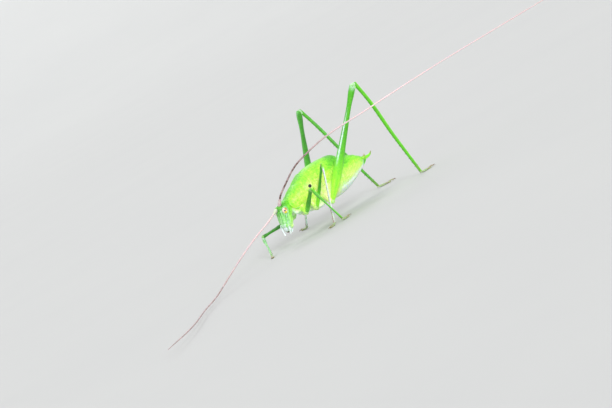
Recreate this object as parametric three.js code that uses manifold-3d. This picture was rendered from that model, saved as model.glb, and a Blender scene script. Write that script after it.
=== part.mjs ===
// A katydid nymph, a long-horned grasshopper, standing still on its six feet at life size.
// Millimetres, +Z up. The head points along -X and the left side faces -Y. The feet stand on Z = 0.
import * as THREE from "three";
import { mergeVertices } from "three/addons/utils/BufferGeometryUtils.js";
import Module from "manifold-3d";

const wasm = await Module();
wasm.setup();

// ---------- Driving dimensions ----------

const GAP = 0.08; // clear space where two pieces meet
const SHELL = 0.5; // thickness of the pronotum's lobes and of the wing pads
const SOLE_SINK = 0.08; // how much of a foot's round underside is cut off flat
const ANTENNA_RADIUS = 0.25;
const TRUNK_POWER = 2.25; // 2 is an ellipse, more is squarer
const TRUNK_SIDES = 20;
const TRUNK_STATIONS = 20;
const TUBE_SIDES = 8;
const CURVE_FRAMES = 200; // how finely a tube's curve is sampled
const TIP = { share: 0.97, size: 0.6 }; // where a small tapered part narrows at its end, and how far
const FAR = 40; // half the size of a cutting block, larger than the body

// The trunk under its plates: height of the back and the belly, and half the width, at each x.
const TRUNK = [
  { x: -6.5, back: 5.95, belly: 3.95, half: 1.1 },
  { x: -5.0, back: 6.7, belly: 3.75, half: 1.5 },
  { x: -3.6, back: 7.4, belly: 3.5, half: 1.8 },
  { x: -2.2, back: 8.0, belly: 3.15, half: 2.05 },
  { x: -0.6, back: 8.28, belly: 2.8, half: 2.2 },
  { x: 1.0, back: 8.25, belly: 2.64, half: 2.25 },
  { x: 2.6, back: 7.92, belly: 2.74, half: 2.2 },
  { x: 4.2, back: 7.48, belly: 3.12, half: 2.0 },
  { x: 5.8, back: 7.05, belly: 3.72, half: 1.6 },
  { x: 7.1, back: 6.38, belly: 4.36, half: 1.05 },
  { x: 8.0, back: 5.75, belly: 4.98, half: 0.45 },
];
const WAIST = 0.5; // where the thorax ends and the abdomen begins
const TERGITES = 8; // rings of the abdomen, each standing a little over the next
const TERGITE_STEP = 0.08;
const TERGITE_FALL = 0.05; // how far along the trunk a ring drops to the next one
const TAIL_END_INSET = 0.1;

// The head in level slices from the mouth up: the slice's middle, half its length and half its width.
const HEAD = [
  { z: 2.5, mid: -8.42, long: 0.4, wide: 0.56 },
  { z: 2.8, mid: -8.3, long: 0.7, wide: 0.82 },
  { z: 3.3, mid: -8.06, long: 0.98, wide: 1.04 },
  { z: 4.0, mid: -7.9, long: 1.04, wide: 1.18 },
  { z: 4.7, mid: -7.69, long: 1.07, wide: 1.24 },
  { z: 5.3, mid: -7.44, long: 1.1, wide: 1.18 },
  { z: 5.8, mid: -7.16, long: 0.98, wide: 0.98 },
  { z: 6.12, mid: -6.92, long: 0.66, wide: 0.62 },
  { z: 6.28, mid: -6.84, long: 0.26, wide: 0.26 },
];
const HEAD_POWER = 2.2;
const FASTIGIUM = { centre: [-8.06, 0, 5.88], half: [0.36, 0.17, 0.24] };
const MOUTHPARTS = { centre: [-8.22, 0, 2.42], half: [0.34, 0.52, 0.46] };
const EYE = { centre: [-8.14, 1.0, 5.02], half: [0.37, 0.33, 0.44] };

// Side outlines, as x and z, of the plates that wrap over the trunk, and the plates' reach in x.
const PRONOTUM_SPAN = [-7.2, -2.4];
const PAD_SPAN = [-2.7, 3.7];
const PRONOTUM_OUTLINE = [
  [-7.3, 9.5],
  [-6.95, 6.2],
  [-6.75, 5.0],
  [-6.2, 4.5],
  [-5.0, 4.45],
  [-4.0, 4.8],
  [-3.35, 5.6],
  [-2.95, 6.8],
  [-2.75, 9.5],
];
const FORE_PAD_OUTLINE = [
  [-2.7, 6.5],
  [-2.85, 5.6],
  [-2.2, 5.2],
  [-0.7, 5.35],
  [0.6, 5.9],
  [1.1, 6.35],
  [-0.6, 6.4],
];
const HIND_PAD_OUTLINE = [
  [-2.6, 9.8],
  [-2.65, 6.72],
  [-0.6, 6.62],
  [1.2, 6.62],
  [2.6, 7.1],
  [3.55, 7.85],
  [3.7, 8.4],
  [3.2, 9.8],
];

// Where the leg joints are, on each side. A foot is where the shin meets the floor.
const LEGS = {
  fore_left: { hip: [-5.6, -1.8, 3.25], knee: [-5.95, -5.9, 6.1], foot: [-3.1, -5.1] },
  mid_left: { hip: [-3.75, -1.85, 3.05], knee: [-2.2, -5.6, 8.25], foot: [-4.1, -4.4] },
  hind_left: { hip: [-1.3, -2.3, 2.75], knee: [7.25, -7.6, 15.6], foot: [10.7, -7.4] },
  fore_right: { hip: [-5.6, 1.8, 3.25], knee: [-9.25, 5.4, 2.8], foot: [-11.4, 2.3] },
  mid_right: { hip: [-3.75, 1.85, 3.05], knee: [0.6, 5.4, 6.1], foot: [0.5, 9.4] },
  hind_right: { hip: [-1.3, 2.3, 2.75], knee: [7.8, 8.2, 15.1], foot: [11.8, 5.2] },
};

// Leg sizes: the coxa's half-sizes, radii along the femur and the tibia, with t from 0 to 1, how
// far the shin bows away from the thigh, and the foot's length.
const LEG_SIZES = {
  fore: {
    coxa: [0.55, 0.55, 0.75],
    femur: [
      { t: 0, r: 0.25 },
      { t: 0.3, r: 0.31 },
      { t: 0.8, r: 0.26 },
      { t: 1, r: 0.3 },
    ],
    tibia: [
      { t: 0, r: 0.25 },
      { t: 0.2, r: 0.3 },
      { t: 0.4, r: 0.25 },
      { t: 1, r: 0.25 },
    ],
    bow: 0.1,
    tarsus: 1.9,
  },
  mid: {
    coxa: [0.62, 0.55, 0.75],
    femur: [
      { t: 0, r: 0.25 },
      { t: 0.3, r: 0.28 },
      { t: 0.8, r: 0.25 },
      { t: 1, r: 0.28 },
    ],
    tibia: [
      { t: 0, r: 0.25 },
      { t: 1, r: 0.25 },
    ],
    bow: 0.1,
    tarsus: 1.9,
  },
  hind: {
    coxa: [0.8, 0.6, 0.8],
    femur: [
      { t: 0, r: 0.3 },
      { t: 0.1, r: 0.48 },
      { t: 0.25, r: 0.56 },
      { t: 0.55, r: 0.4 },
      { t: 0.85, r: 0.31 },
      { t: 0.95, r: 0.42 },
      { t: 1, r: 0.4 },
    ],
    tibia: [
      { t: 0, r: 0.3 },
      { t: 0.25, r: 0.28 },
      { t: 1, r: 0.25 },
    ],
    bow: 0.5,
    tarsus: 2.7,
  },
};
const SHIN_BOW = [
  { t: 0, share: 0.8 },
  { t: 0.15, share: 1 },
  { t: 0.6, share: 0.3 },
  { t: 1, share: 0 },
];
const FEMUR_DEPTH = 1.12; // a femur's depth and its thickness are its radius times and over this
const KNEE_DOME = [{ rise: 0.6, size: 0.75 }, { rise: 0.95, size: 0.3 }]; // as shares of the end's radius
const COXA_SHIFT = { inward: 0.35, up: 0.3 }; // the coxa's middle from the hip joint
const TARSUS_RADIUS = 0.29;
const TARSUS_SHAPE = [
  { s: -0.14, r: 0.6 },
  { s: 0.02, r: 0.95 },
  { s: 0.36, r: 1.0 },
  { s: 0.46, r: 0.85 },
  { s: 0.72, r: 1.0 },
  { s: 1.0, r: 0.5 },
];
const ANKLE_HEIGHT = 0.45;
// A foot points the way its shin leans, unless the shin leans less than this over its length.
const LEAST_LEAN = 2.5;
const STEEP_HEADING = { fore: -2, mid: -2, hind: 3 };

// The feelers, from their sockets to their tips. The left one sweeps back over the body.
const ANTENNAE = {
  left: [
    [-8.2, -0.38, 5.85],
    [-7.55, -0.8, 7.0],
    [-6.45, -1.6, 8.1],
    [-4.8, -3.0, 9.6],
    [-2.0, -5.2, 10.85],
    [7.1, -9.6, 11.9],
    [17.3, -11.8, 12.4],
    [32.0, -14.0, 12.65],
    [45.0, -15.7, 12.8],
  ],
  right: [
    [-8.3, 0.38, 5.6],
    [-10.2, 0.2, 4.9],
    [-14.7, -0.8, 3.8],
    [-19.1, -2.5, 2.7],
    [-23.6, -4.85, 1.65],
    [-27.5, -7.3, 0.85],
    [-34.0, -13.4, 0.7],
    [-42.0, -22.4, 0.85],
    [-52.5, -32.6, 1.3],
  ],
};
const SCAPE_END = 0.018; // the thick first joints take this share of a feeler's length
const SCAPE = [
  { t: 0, r: 0.25 },
  { t: 0.35, r: 0.33 },
  { t: 0.7, r: 0.27 },
  { t: 1, r: 0.29 },
];
const FLAGELLUM_CUTS = [SCAPE_END, 0.2, 0.55, 1]; // where the rest is divided

// Mouth feelers as short tubes: points on the centre line, and the radius at each end.
const PALPS = {
  palp_left: { path: [[-8.35, -0.75, 2.85], [-8.6, -0.9, 2.35], [-8.72, -0.55, 1.85]], radii: [0.25, 0.2] },
  palp_right: { path: [[-8.75, 0.75, 3.1], [-9.15, 0.62, 2.55], [-9.18, 0.3, 1.9]], radii: [0.25, 0.2] },
};
const OVIPOSITOR = [
  { t: 0, x: 7.4, z: 5.1, deep: 0.5, thick: 0.36 },
  { t: 0.4, x: 8.5, z: 5.22, deep: 0.38, thick: 0.3 },
  { t: 0.75, x: 9.35, z: 5.36, deep: 0.26, thick: 0.26 },
  { t: 1, x: 10.05, z: 5.72, deep: 0.2, thick: 0.22 },
];
const CERCUS = { path: [[7.5, 0.42, 5.45], [7.95, 0.72, 5.6], [8.2, 0.62, 6.0]], radii: [0.26, 0.2] };

// ---------- Materials ----------

const paint = (color, roughness) => new THREE.MeshStandardMaterial({ color, roughness, metalness: 0 });
const LIME = paint(0x8fe03a, 0.45);
const LEAF_GREEN = paint(0x5cc32c, 0.4);
const PALE = paint(0xcdf2b4, 0.45);
const FEELER = paint(0xc79c92, 0.5);
const EYE_CREAM = paint(0xf0dcae, 0.25);

// ---------- Shape helpers ----------

const vec = (p) => new THREE.Vector3(...p);
const AXIS_X = new THREE.Vector3(1, 0, 0);
const AXIS_Y = new THREE.Vector3(0, 1, 0);
const AXIS_Z = new THREE.Vector3(0, 0, 1);

// A row of the table at `value` of its `key` column, with the other columns smoothly interpolated.
function rowAt(rows, key, value) {
  const last = rows.length - 1;
  let i = 0;
  while (i < last - 1 && value > rows[i + 1][key]) i += 1;
  const share = (value - rows[i][key]) / (rows[i + 1][key] - rows[i][key]);
  const near = (k) => rows[Math.min(Math.max(k, 0), last)];
  const out = {};
  for (const column of Object.keys(rows[0])) {
    const [a, b, c, d] = [i - 1, i, i + 1, i + 2].map((k) => near(k)[column]);
    const straight = (c - a) * share;
    const bend = (2 * a - 5 * b + 4 * c - d) * share ** 2;
    const twist = (3 * b - a - 3 * c + d) * share ** 3;
    out[column] = 0.5 * (2 * b + straight + bend + twist);
  }
  out[key] = value;
  return out;
}

// Evenly spaced numbers from `first` to `last`, both included.
function steps(first, last, count) {
  return Array.from({ length: count + 1 }, (_, i) => first + ((last - first) * i) / count);
}

// Where the trunk's rings stand from one x to another. All its layers share the inner ones.
function stations(from, to) {
  const apart = 0.1;
  const shared = steps(TRUNK[0].x, TRUNK.at(-1).x, TRUNK_STATIONS);
  return [from, ...shared.filter((x) => x > from + apart && x < to - apart), to];
}

// A closed loop of points round `centre`, reaching `a` along `u` and `b` along `v`.
function ring(centre, u, v, a, b, sides, power = 2) {
  const bulge = (value) => Math.sign(value) * Math.abs(value) ** (2 / power);
  return Array.from({ length: sides }, (_, i) => {
    const angle = (2 * Math.PI * (i + 0.5)) / sides;
    return centre
      .clone()
      .addScaledVector(u, a * bulge(Math.cos(angle)))
      .addScaledVector(v, b * bulge(Math.sin(angle)));
  });
}

// A closed geometry through equal rings, its two ends filled with fans.
function loft(rings) {
  const sides = rings[0].length;
  const middle = (loop) => loop.reduce((sum, p) => sum.add(p), new THREE.Vector3()).divideScalar(sides);
  const points = [...rings.flat(), middle(rings[0]), middle(rings.at(-1))];
  const [firstMiddle, lastMiddle] = [points.length - 2, points.length - 1];
  const lastRing = (rings.length - 1) * sides;
  const index = [];
  for (let i = 0; i < sides; i += 1) {
    const next = (i + 1) % sides;
    index.push(firstMiddle, next, i, lastMiddle, lastRing + i, lastRing + next);
    for (let start = 0; start < lastRing; start += sides) {
      const [a, b, c, d] = [start + i, start + next, start + sides + i, start + sides + next];
      index.push(a, b, d, a, d, c);
    }
  }
  const geometry = new THREE.BufferGeometry().setFromPoints(points);
  geometry.setIndex(index);
  return geometry;
}

// Signed volume of an indexed geometry, which is negative where its faces point inwards.
function signedVolume(geometry) {
  const position = geometry.getAttribute("position");
  const corner = (i) => new THREE.Vector3().fromBufferAttribute(position, geometry.index.getX(i));
  let sum = 0;
  for (let i = 0; i < geometry.index.count; i += 3) {
    sum += corner(i).dot(corner(i + 1).cross(corner(i + 2))) / 6;
  }
  return sum;
}

// A geometry as a solid for cutting and joining, its faces turned to point outwards.
function solid(geometry) {
  const bare = geometry.clone();
  bare.deleteAttribute("normal");
  bare.deleteAttribute("uv");
  const merged = mergeVertices(bare, 1e-4);
  const triVerts = Uint32Array.from(merged.index.array);
  if (signedVolume(merged) < 0) triVerts.reverse();
  return new wasm.Manifold(
    new wasm.Mesh({ numProp: 3, vertProperties: merged.getAttribute("position").array, triVerts }),
  );
}

// A solid as a named mesh.
function mesh(name, shape, material) {
  const { numProp, numVert, vertProperties, triVerts } = shape.getMesh();
  const position = new Float32Array(numVert * 3);
  for (let i = 0; i < numVert; i += 1) {
    position.set(vertProperties.subarray(i * numProp, i * numProp + 3), i * 3);
  }
  const geometry = new THREE.BufferGeometry();
  geometry.setAttribute("position", new THREE.BufferAttribute(position, 3));
  geometry.setIndex(new THREE.BufferAttribute(triVerts, 1));
  geometry.computeVertexNormals();
  const made = new THREE.Mesh(geometry, material);
  made.name = name;
  return made;
}

// A block between two corners, used to cut with.
function block(low, high) {
  const size = vec(high).sub(vec(low));
  const geometry = new THREE.BoxGeometry(size.x, size.y, size.z);
  const centre = vec(low).add(vec(high)).multiplyScalar(0.5);
  return solid(geometry.translate(centre.x, centre.y, centre.z));
}

// A prism with a smooth side outline, running right across the body.
function sideOutline(points) {
  const curve = new THREE.SplineCurve(points.map(([x, z]) => new THREE.Vector2(x, z)));
  const shape = new THREE.Shape(curve.getPoints(points.length * 3));
  const geometry = new THREE.ExtrudeGeometry(shape, { depth: 2 * FAR, bevelEnabled: false });
  return solid(geometry.rotateX(Math.PI / 2).translate(0, FAR, 0));
}

// A tube along a curve between two shares of its length. radius(share) runs with the whole curve.
function tube(curve, from, to, radius, count, sides = TUBE_SIDES) {
  const frames = curve.computeFrenetFrames(CURVE_FRAMES);
  const rings = steps(from, to, count).map((share) => {
    const k = Math.round(share * CURVE_FRAMES);
    const r = radius(share);
    return ring(curve.getPointAt(share), frames.normals[k], frames.binormals[k], r, r, sides);
  });
  return solid(loft(rings));
}

// A short tapered tube through a few points, with a narrowed tip.
function feeler({ path, radii }) {
  const curve = new THREE.CatmullRomCurve3(path.map(vec));
  const narrowing = (share) => (share > TIP.share ? TIP.size : 1);
  const taper = (share) => THREE.MathUtils.lerp(radii[0], radii[1], share) * narrowing(share);
  return tube(curve, 0, 1, taper, 4);
}

// An egg-shaped solid.
function egg(centre, half, detail = 10) {
  const geometry = new THREE.SphereGeometry(1, detail, Math.round(detail * 0.7));
  return solid(geometry.scale(...half).translate(...centre));
}

const mirrored = ([x, y, z]) => [x, -y, z];
const grown = (half, by) => half.map((h) => h + by);

// ---------- Body ----------

function trunkRing(x, grow) {
  const { back, belly, half } = rowAt(TRUNK, "x", x);
  const centre = new THREE.Vector3(x, 0, (back + belly) / 2);
  return ring(centre, AXIS_Y, AXIS_Z, half + grow, (back - belly) / 2 + grow, TRUNK_SIDES, TRUNK_POWER);
}

function trunk(from, to, grow = 0) {
  return solid(loft(stations(from, to).map((x) => trunkRing(x, grow))));
}

function head(grow = 0) {
  const [low, high] = [HEAD[0].z - grow, HEAD.at(-1).z + grow];
  const rings = steps(low, high, 10).map((z) => {
    const { mid, long, wide } = rowAt(HEAD, "z", THREE.MathUtils.clamp(z, HEAD[0].z, HEAD.at(-1).z));
    const centre = new THREE.Vector3(mid, 0, z);
    return ring(centre, AXIS_X, AXIS_Y, long + grow, wide + grow, 16, HEAD_POWER);
  });
  const fastigium = egg(FASTIGIUM.centre, grown(FASTIGIUM.half, grow), 8);
  return solid(loft(rings)).add(fastigium);
}

function eye(side, grow = 0) {
  const [x, y, z] = EYE.centre;
  return egg([x, side * y, z], grown(EYE.half, grow));
}

// The shell round the trunk that the pronotum and the wing pads are cut from.
function plateShell(from, to) {
  const inside = GAP + TERGITE_STEP;
  return trunk(from, to, inside + SHELL).subtract(trunk(from - 1, to + 1, inside));
}

function headPieces() {
  const sockets = eye(-1, GAP).add(eye(1, GAP));
  const mouthparts = (grow) => egg(MOUTHPARTS.centre, grown(MOUTHPARTS.half, grow));
  const taken = head(GAP).add(mouthparts(GAP));
  return [
    mesh("head", head().subtract(sockets), LIME),
    mesh("mouthparts", mouthparts(0).subtract(head(GAP)), PALE),
    mesh("eye_left", eye(-1), EYE_CREAM),
    mesh("eye_right", eye(1), EYE_CREAM),
    ...Object.entries(PALPS).map(([name, palp]) => mesh(name, feeler(palp).subtract(taken), PALE)),
  ];
}

function thoraxPieces() {
  const saddle = plateShell(...PRONOTUM_SPAN).intersect(sideOutline(PRONOTUM_OUTLINE));
  const pronotum = saddle.subtract(head(GAP));
  const thorax = trunk(TRUNK[0].x, WAIST).subtract(head(GAP));
  return [mesh("pronotum", pronotum, LIME), mesh("thorax", thorax, LIME)];
}

function wingPads() {
  const shell = plateShell(...PAD_SPAN);
  const sides = {
    left: block([-FAR, -FAR, -FAR], [FAR, -GAP / 2, FAR]),
    right: block([-FAR, GAP / 2, -FAR], [FAR, FAR, FAR]),
  };
  const outlines = { fore: sideOutline(FORE_PAD_OUTLINE), hind: sideOutline(HIND_PAD_OUTLINE) };
  return Object.entries(sides).flatMap(([side, half]) =>
    Object.entries(outlines).map(([pair, outline]) =>
      mesh(`wing_pad_${pair}_${side}`, shell.intersect(half).intersect(outline), LEAF_GREEN),
    ),
  );
}

function abdomenPieces() {
  const start = WAIST + GAP;
  const width = (TRUNK.at(-1).x - start) / TERGITES;
  const rings = [];
  for (let i = 0; i < TERGITES; i += 1) {
    const front = start + i * width;
    rings.push(trunkRing(front, 0), trunkRing(front + width - TERGITE_FALL, TERGITE_STEP));
  }
  rings.push(trunkRing(TRUNK.at(-1).x, -TAIL_END_INSET));
  const abdomen = solid(loft(rings));
  const room = trunk(start, TRUNK.at(-1).x, TERGITE_STEP + GAP);
  const blade = (grow) =>
    solid(
      loft(
        steps(0, 1, 7).map((t) => {
          const { x, z, deep, thick } = rowAt(OVIPOSITOR, "t", t);
          const end = t > TIP.share ? TIP.size : 1;
          const centre = new THREE.Vector3(x, 0, z);
          return ring(centre, AXIS_Y, AXIS_Z, (thick + grow) * end, (deep + grow) * end, 10);
        }),
      ),
    );
  const cercus = (side) => {
    const path = CERCUS.path.map((p) => (side === "left" ? mirrored(p) : p));
    const made = feeler({ path, radii: CERCUS.radii }).subtract(room).subtract(blade(GAP));
    return mesh(`cercus_${side}`, made, LEAF_GREEN);
  };
  return [
    mesh("abdomen", abdomen, LIME),
    mesh("ovipositor", blade(0).subtract(room), LEAF_GREEN),
    cercus("left"),
    cercus("right"),
  ];
}

// ---------- Feelers ----------

function antennaPieces(side) {
  const curve = new THREE.CatmullRomCurve3(ANTENNAE[side].map(vec), false, "centripetal");
  const length = curve.getLength();
  const scapeRadius = (share) => rowAt(SCAPE, "t", share / SCAPE_END).r;
  const base = tube(curve, 0, SCAPE_END, scapeRadius, 5).subtract(head(GAP));
  const lengths = FLAGELLUM_CUTS.slice(1).map((end, i) => {
    const start = FLAGELLUM_CUTS[i] + GAP / length;
    const part = tube(curve, start, end, () => ANTENNA_RADIUS, 8, 6);
    return mesh(`antenna_${side}_${i + 1}`, part, FEELER);
  });
  return [mesh(`antenna_${side}_base`, base, FEELER), ...lengths];
}

// ---------- Legs ----------

function segment(from, to, across, rows, depth, count, grow = 0) {
  const along = to.clone().sub(from).normalize();
  const upright = new THREE.Vector3().crossVectors(along, across).normalize();
  const reach = from.distanceTo(to);
  const rings = steps(0, 1, count).map((t) => {
    const { r } = rowAt(rows, "t", t);
    const centre = from.clone().lerp(to, t);
    return ring(centre, across, upright, r / depth + grow, r * depth + grow, TUBE_SIDES);
  });
  // A low dome over the far end.
  const end = rowAt(rows, "t", 1).r;
  for (const { rise, size } of KNEE_DOME) {
    const centre = from.clone().addScaledVector(along, reach + (end + grow) * rise);
    const [thick, deep] = [(end / depth + grow) * size, (end * depth + grow) * size];
    rings.push(ring(centre, across, upright, thick, deep, TUBE_SIDES));
  }
  return solid(loft(rings));
}

// A foot along the floor from the ankle, with a flat sole.
function tarsus(ankle, heading, length, grow = 0) {
  const across = new THREE.Vector3().crossVectors(heading, AXIS_Z);
  const height = TARSUS_RADIUS - SOLE_SINK;
  const rings = TARSUS_SHAPE.map(({ s, r }) => {
    const centre = ankle.clone().addScaledVector(heading, s * length).setZ(height);
    return ring(centre, across, AXIS_Z, TARSUS_RADIUS * r + grow, TARSUS_RADIUS * r + grow, TUBE_SIDES);
  });
  const floor = grow > 0 ? -FAR : 0;
  return solid(loft(rings)).intersect(block([-FAR, -FAR, floor], [FAR, FAR, FAR]));
}

function legPieces([name, { hip, knee, foot }], body) {
  const [pair, side] = name.split("_");
  const size = LEG_SIZES[pair];
  const outward = side === "left" ? -1 : 1;
  const [hipPoint, kneePoint] = [vec(hip), vec(knee)];
  const ankle = new THREE.Vector3(foot[0], foot[1], ANKLE_HEIGHT);
  const across = new THREE.Vector3()
    .crossVectors(kneePoint.clone().sub(hipPoint), ankle.clone().sub(kneePoint))
    .normalize();
  const heading = ankle.clone().sub(kneePoint).setZ(0);
  if (heading.length() < LEAST_LEAN) heading.set(STEEP_HEADING[pair], outward, 0);
  heading.normalize();

  // The shin's curve bows away from the thigh.
  const shin = ankle.clone().sub(kneePoint).normalize();
  const away = kneePoint.clone().sub(hipPoint).projectOnPlane(shin).normalize();
  const shinCurve = new THREE.CatmullRomCurve3(
    SHIN_BOW.map(({ t, share }) => kneePoint.clone().lerp(ankle, t).addScaledVector(away, size.bow * share)),
  );

  const coxaCentre = [hip[0], hip[1] - outward * COXA_SHIFT.inward, hip[2] + COXA_SHIFT.up];
  const coxaSolid = (grow) => egg(coxaCentre, grown(size.coxa, grow));
  const femurSolid = (grow) => segment(hipPoint, kneePoint, across, size.femur, FEMUR_DEPTH, 9, grow);
  const tarsusSolid = (grow) => tarsus(ankle, heading, size.tarsus, grow);
  const coxa = coxaSolid(0).subtract(body);
  const femur = femurSolid(0).subtract(coxaSolid(GAP)).subtract(body);
  const tibia = tube(shinCurve, 0, 1, (share) => rowAt(size.tibia, "t", share).r, 6)
    .subtract(femurSolid(GAP))
    .subtract(tarsusSolid(GAP));
  return [
    mesh(`coxa_${name}`, coxa, LIME),
    mesh(`femur_${name}`, femur, LEAF_GREEN),
    mesh(`tibia_${name}`, tibia, LEAF_GREEN),
    mesh(`tarsus_${name}`, tarsusSolid(0), LEAF_GREEN),
  ];
}

// ---------- The whole insect ----------

const bodySpace = trunk(TRUNK[0].x, TRUNK.at(-1).x, GAP + TERGITE_STEP).add(head(GAP));
const pieces = [
  ...headPieces(),
  ...thoraxPieces(),
  ...wingPads(),
  ...abdomenPieces(),
  ...["left", "right"].flatMap(antennaPieces),
  ...Object.entries(LEGS).flatMap((leg) => legPieces(leg, bodySpace)),
];

const insect = new THREE.Group();
insect.add(...pieces);

// The origin is the middle of the insect's footprint, at floor level.
const bounds = new THREE.Box3().setFromObject(insect);
const middle = bounds.getCenter(new THREE.Vector3());
insect.position.set(-middle.x, -middle.y, -bounds.min.z);

export default insect;
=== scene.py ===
"""A katydid nymph, a long-horned grasshopper, standing on a pale studio floor.

Shapes are worked out in millimetres in the insect's own frame, with its head towards -X, its left
side towards -Y and its feet on Z = 0, and each finished piece is moved into the model's frame.
"""
import math

import bmesh
import bpy
import numpy as np
from mathutils import Matrix, Vector


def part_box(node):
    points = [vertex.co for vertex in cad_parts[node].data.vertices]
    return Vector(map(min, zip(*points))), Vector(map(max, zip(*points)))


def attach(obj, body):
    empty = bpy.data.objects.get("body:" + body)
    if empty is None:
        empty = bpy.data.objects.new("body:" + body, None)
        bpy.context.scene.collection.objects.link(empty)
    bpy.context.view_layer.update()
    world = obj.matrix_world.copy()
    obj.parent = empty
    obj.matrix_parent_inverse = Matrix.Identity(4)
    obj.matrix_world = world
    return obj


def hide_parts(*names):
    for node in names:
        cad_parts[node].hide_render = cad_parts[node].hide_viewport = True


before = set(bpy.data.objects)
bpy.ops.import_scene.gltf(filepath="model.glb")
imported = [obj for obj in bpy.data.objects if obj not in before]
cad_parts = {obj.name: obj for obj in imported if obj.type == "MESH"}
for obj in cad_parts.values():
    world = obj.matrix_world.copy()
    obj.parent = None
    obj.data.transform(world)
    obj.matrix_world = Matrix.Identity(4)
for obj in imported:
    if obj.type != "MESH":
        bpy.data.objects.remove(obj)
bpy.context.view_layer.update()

# ---------- Driving dimensions, the same as the solids' ----------

MM = 0.001
TRUNK_POWER = 2.25
TRUNK = np.array([  # x, height of the back, height of the belly, half the width
    (-7.3, 5.6, 4.2, 0.7),
    (-6.5, 5.95, 3.95, 1.1),
    (-5.0, 6.7, 3.75, 1.5),
    (-3.6, 7.4, 3.5, 1.8),
    (-2.2, 8.0, 3.15, 2.05),
    (-0.6, 8.28, 2.8, 2.2),
    (1.0, 8.25, 2.64, 2.25),
    (2.6, 7.92, 2.74, 2.2),
    (4.2, 7.48, 3.12, 2.0),
    (5.8, 7.05, 3.72, 1.6),
    (7.1, 6.38, 4.36, 1.05),
    (8.0, 5.75, 4.98, 0.45),
])
HEAD_POWER = 2.2
HEAD = np.array([  # z, the slice's middle, half its length and half its width
    (2.5, -8.42, 0.36, 0.5),
    (2.8, -8.3, 0.66, 0.8),
    (3.3, -8.06, 0.96, 1.04),
    (4.0, -7.9, 1.04, 1.18),
    (4.7, -7.69, 1.07, 1.24),
    (5.3, -7.44, 1.1, 1.18),
    (5.8, -7.16, 0.98, 0.98),
    (6.12, -6.92, 0.66, 0.62),
    (6.28, -6.84, 0.26, 0.26),
])
EYE_CENTRE = np.array([-8.14, 1.0, 5.02])  # the right eye's
EYE_HALF = np.array([0.37, 0.33, 0.44])
TERGITE_START, TERGITE_END, TERGITES = 0.4, 7.6, 8
SADDLE_ANGLE = 2.02  # how far the pronotum reaches down round the trunk from the back

LEGS = {  # hip, knee and the ankle's place on the floor
    "fore_left": ((-5.6, -1.8, 3.25), (-5.95, -5.9, 6.1), (-3.1, -5.1)),
    "mid_left": ((-3.75, -1.85, 3.05), (-2.2, -5.6, 8.25), (-4.1, -4.4)),
    "hind_left": ((-1.3, -2.3, 2.75), (7.25, -7.6, 15.6), (10.7, -7.4)),
    "fore_right": ((-5.6, 1.8, 3.25), (-9.25, 5.4, 2.8), (-11.4, 2.3)),
    "mid_right": ((-3.75, 1.85, 3.05), (0.6, 5.4, 6.1), (0.5, 9.4)),
    "hind_right": ((-1.3, 2.3, 2.75), (7.8, 8.2, 15.1), (11.8, 5.2)),
}
HIPS = [hip for name, (hip, _, _) in LEGS.items() if name.endswith("left")]  # used for both sides
# A coxa's radius, and how much longer than thick it is along the body.
COXAE = {"fore": (0.5, 1.0), "mid": (0.52, 1.08), "hind": (0.58, 1.3)}
# Radii along the femur and the tibia, as share of length and radius, and the rest of a leg's sizes.
# Colours: the femur's tone and how much paler its start is, a pale painted highlight and brown at
# the knee, and the shin's tone and its whitish painted highlight.
LEG_SIZES = {
    "fore": {
        "femur": ((0, 0.17), (0.1, 0.25), (0.4, 0.28), (0.85, 0.22), (0.97, 0.26), (1, 0.25)),
        "tibia": ((0, 0.19), (0.05, 0.17), (0.14, 0.22), (0.26, 0.21), (0.38, 0.15), (1, 0.15)),
        "bow": 0.1, "tarsus": 1.9, "spines": 6, "spine_length": 0.16,
        "femur_tone": (0.13, 0.24), "knee": (0.12, 0.2), "shin": (0.3, 0.35),
    },
    "mid": {
        "femur": ((0, 0.16), (0.1, 0.22), (0.4, 0.23), (0.85, 0.18), (0.97, 0.22), (1, 0.2)),
        "tibia": ((0, 0.17), (0.06, 0.155), (1, 0.145)),
        "bow": 0.1, "tarsus": 1.9, "spines": 7, "spine_length": 0.16,
        "femur_tone": (0.13, 0.4), "knee": (0.15, 0.65), "shin": (0.4, 1.1),
    },
    "hind": {
        "femur": (
            (0, 0.2), (0.06, 0.36), (0.14, 0.5), (0.25, 0.56), (0.42, 0.48), (0.58, 0.39), (0.85, 0.31),
            (0.95, 0.4), (1, 0.38),
        ),
        "tibia": ((0, 0.25), (0.06, 0.235), (0.3, 0.235), (1, 0.18)),
        "bow": 0.5, "tarsus": 2.7, "spines": 18, "spine_length": 0.26,
        "femur_tone": (0.22, 0.42), "knee": (0.35, 0.0), "shin": (0.34, 0.0),
    },
}
SHIN_BOW = ((0, 0.8), (0.15, 1), (0.6, 0.3), (1, 0))
FEMUR_DEPTH = 1.12  # a femur's depth and its thickness are its radius times and over this
ANKLE_HEIGHT = 0.42
HAIR_FLOOR = 0.005  # no bristle reaches lower than this

ANTENNAE = {
    "left": (
        (-8.2, -0.38, 5.85), (-7.55, -0.8, 7.0), (-6.45, -1.6, 8.1), (-4.8, -3.0, 9.6), (-2.0, -5.2, 10.85),
        (7.1, -9.6, 11.9), (17.3, -11.8, 12.4), (32.0, -14.0, 12.65), (45.0, -15.7, 12.8),
    ),
    "right": (
        (-8.3, 0.38, 5.6), (-10.2, 0.2, 4.9), (-14.7, -0.8, 3.8), (-19.1, -2.5, 2.7), (-23.6, -4.85, 1.65),
        (-27.5, -7.3, 0.85), (-34.0, -13.4, 0.7), (-42.0, -22.4, 0.85), (-52.5, -32.6, 1.3),
    ),
}
SCAPE_LENGTH, PEDICEL_LENGTH, FLAGELLUM_STEP = 0.62, 0.34, 0.36
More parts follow.
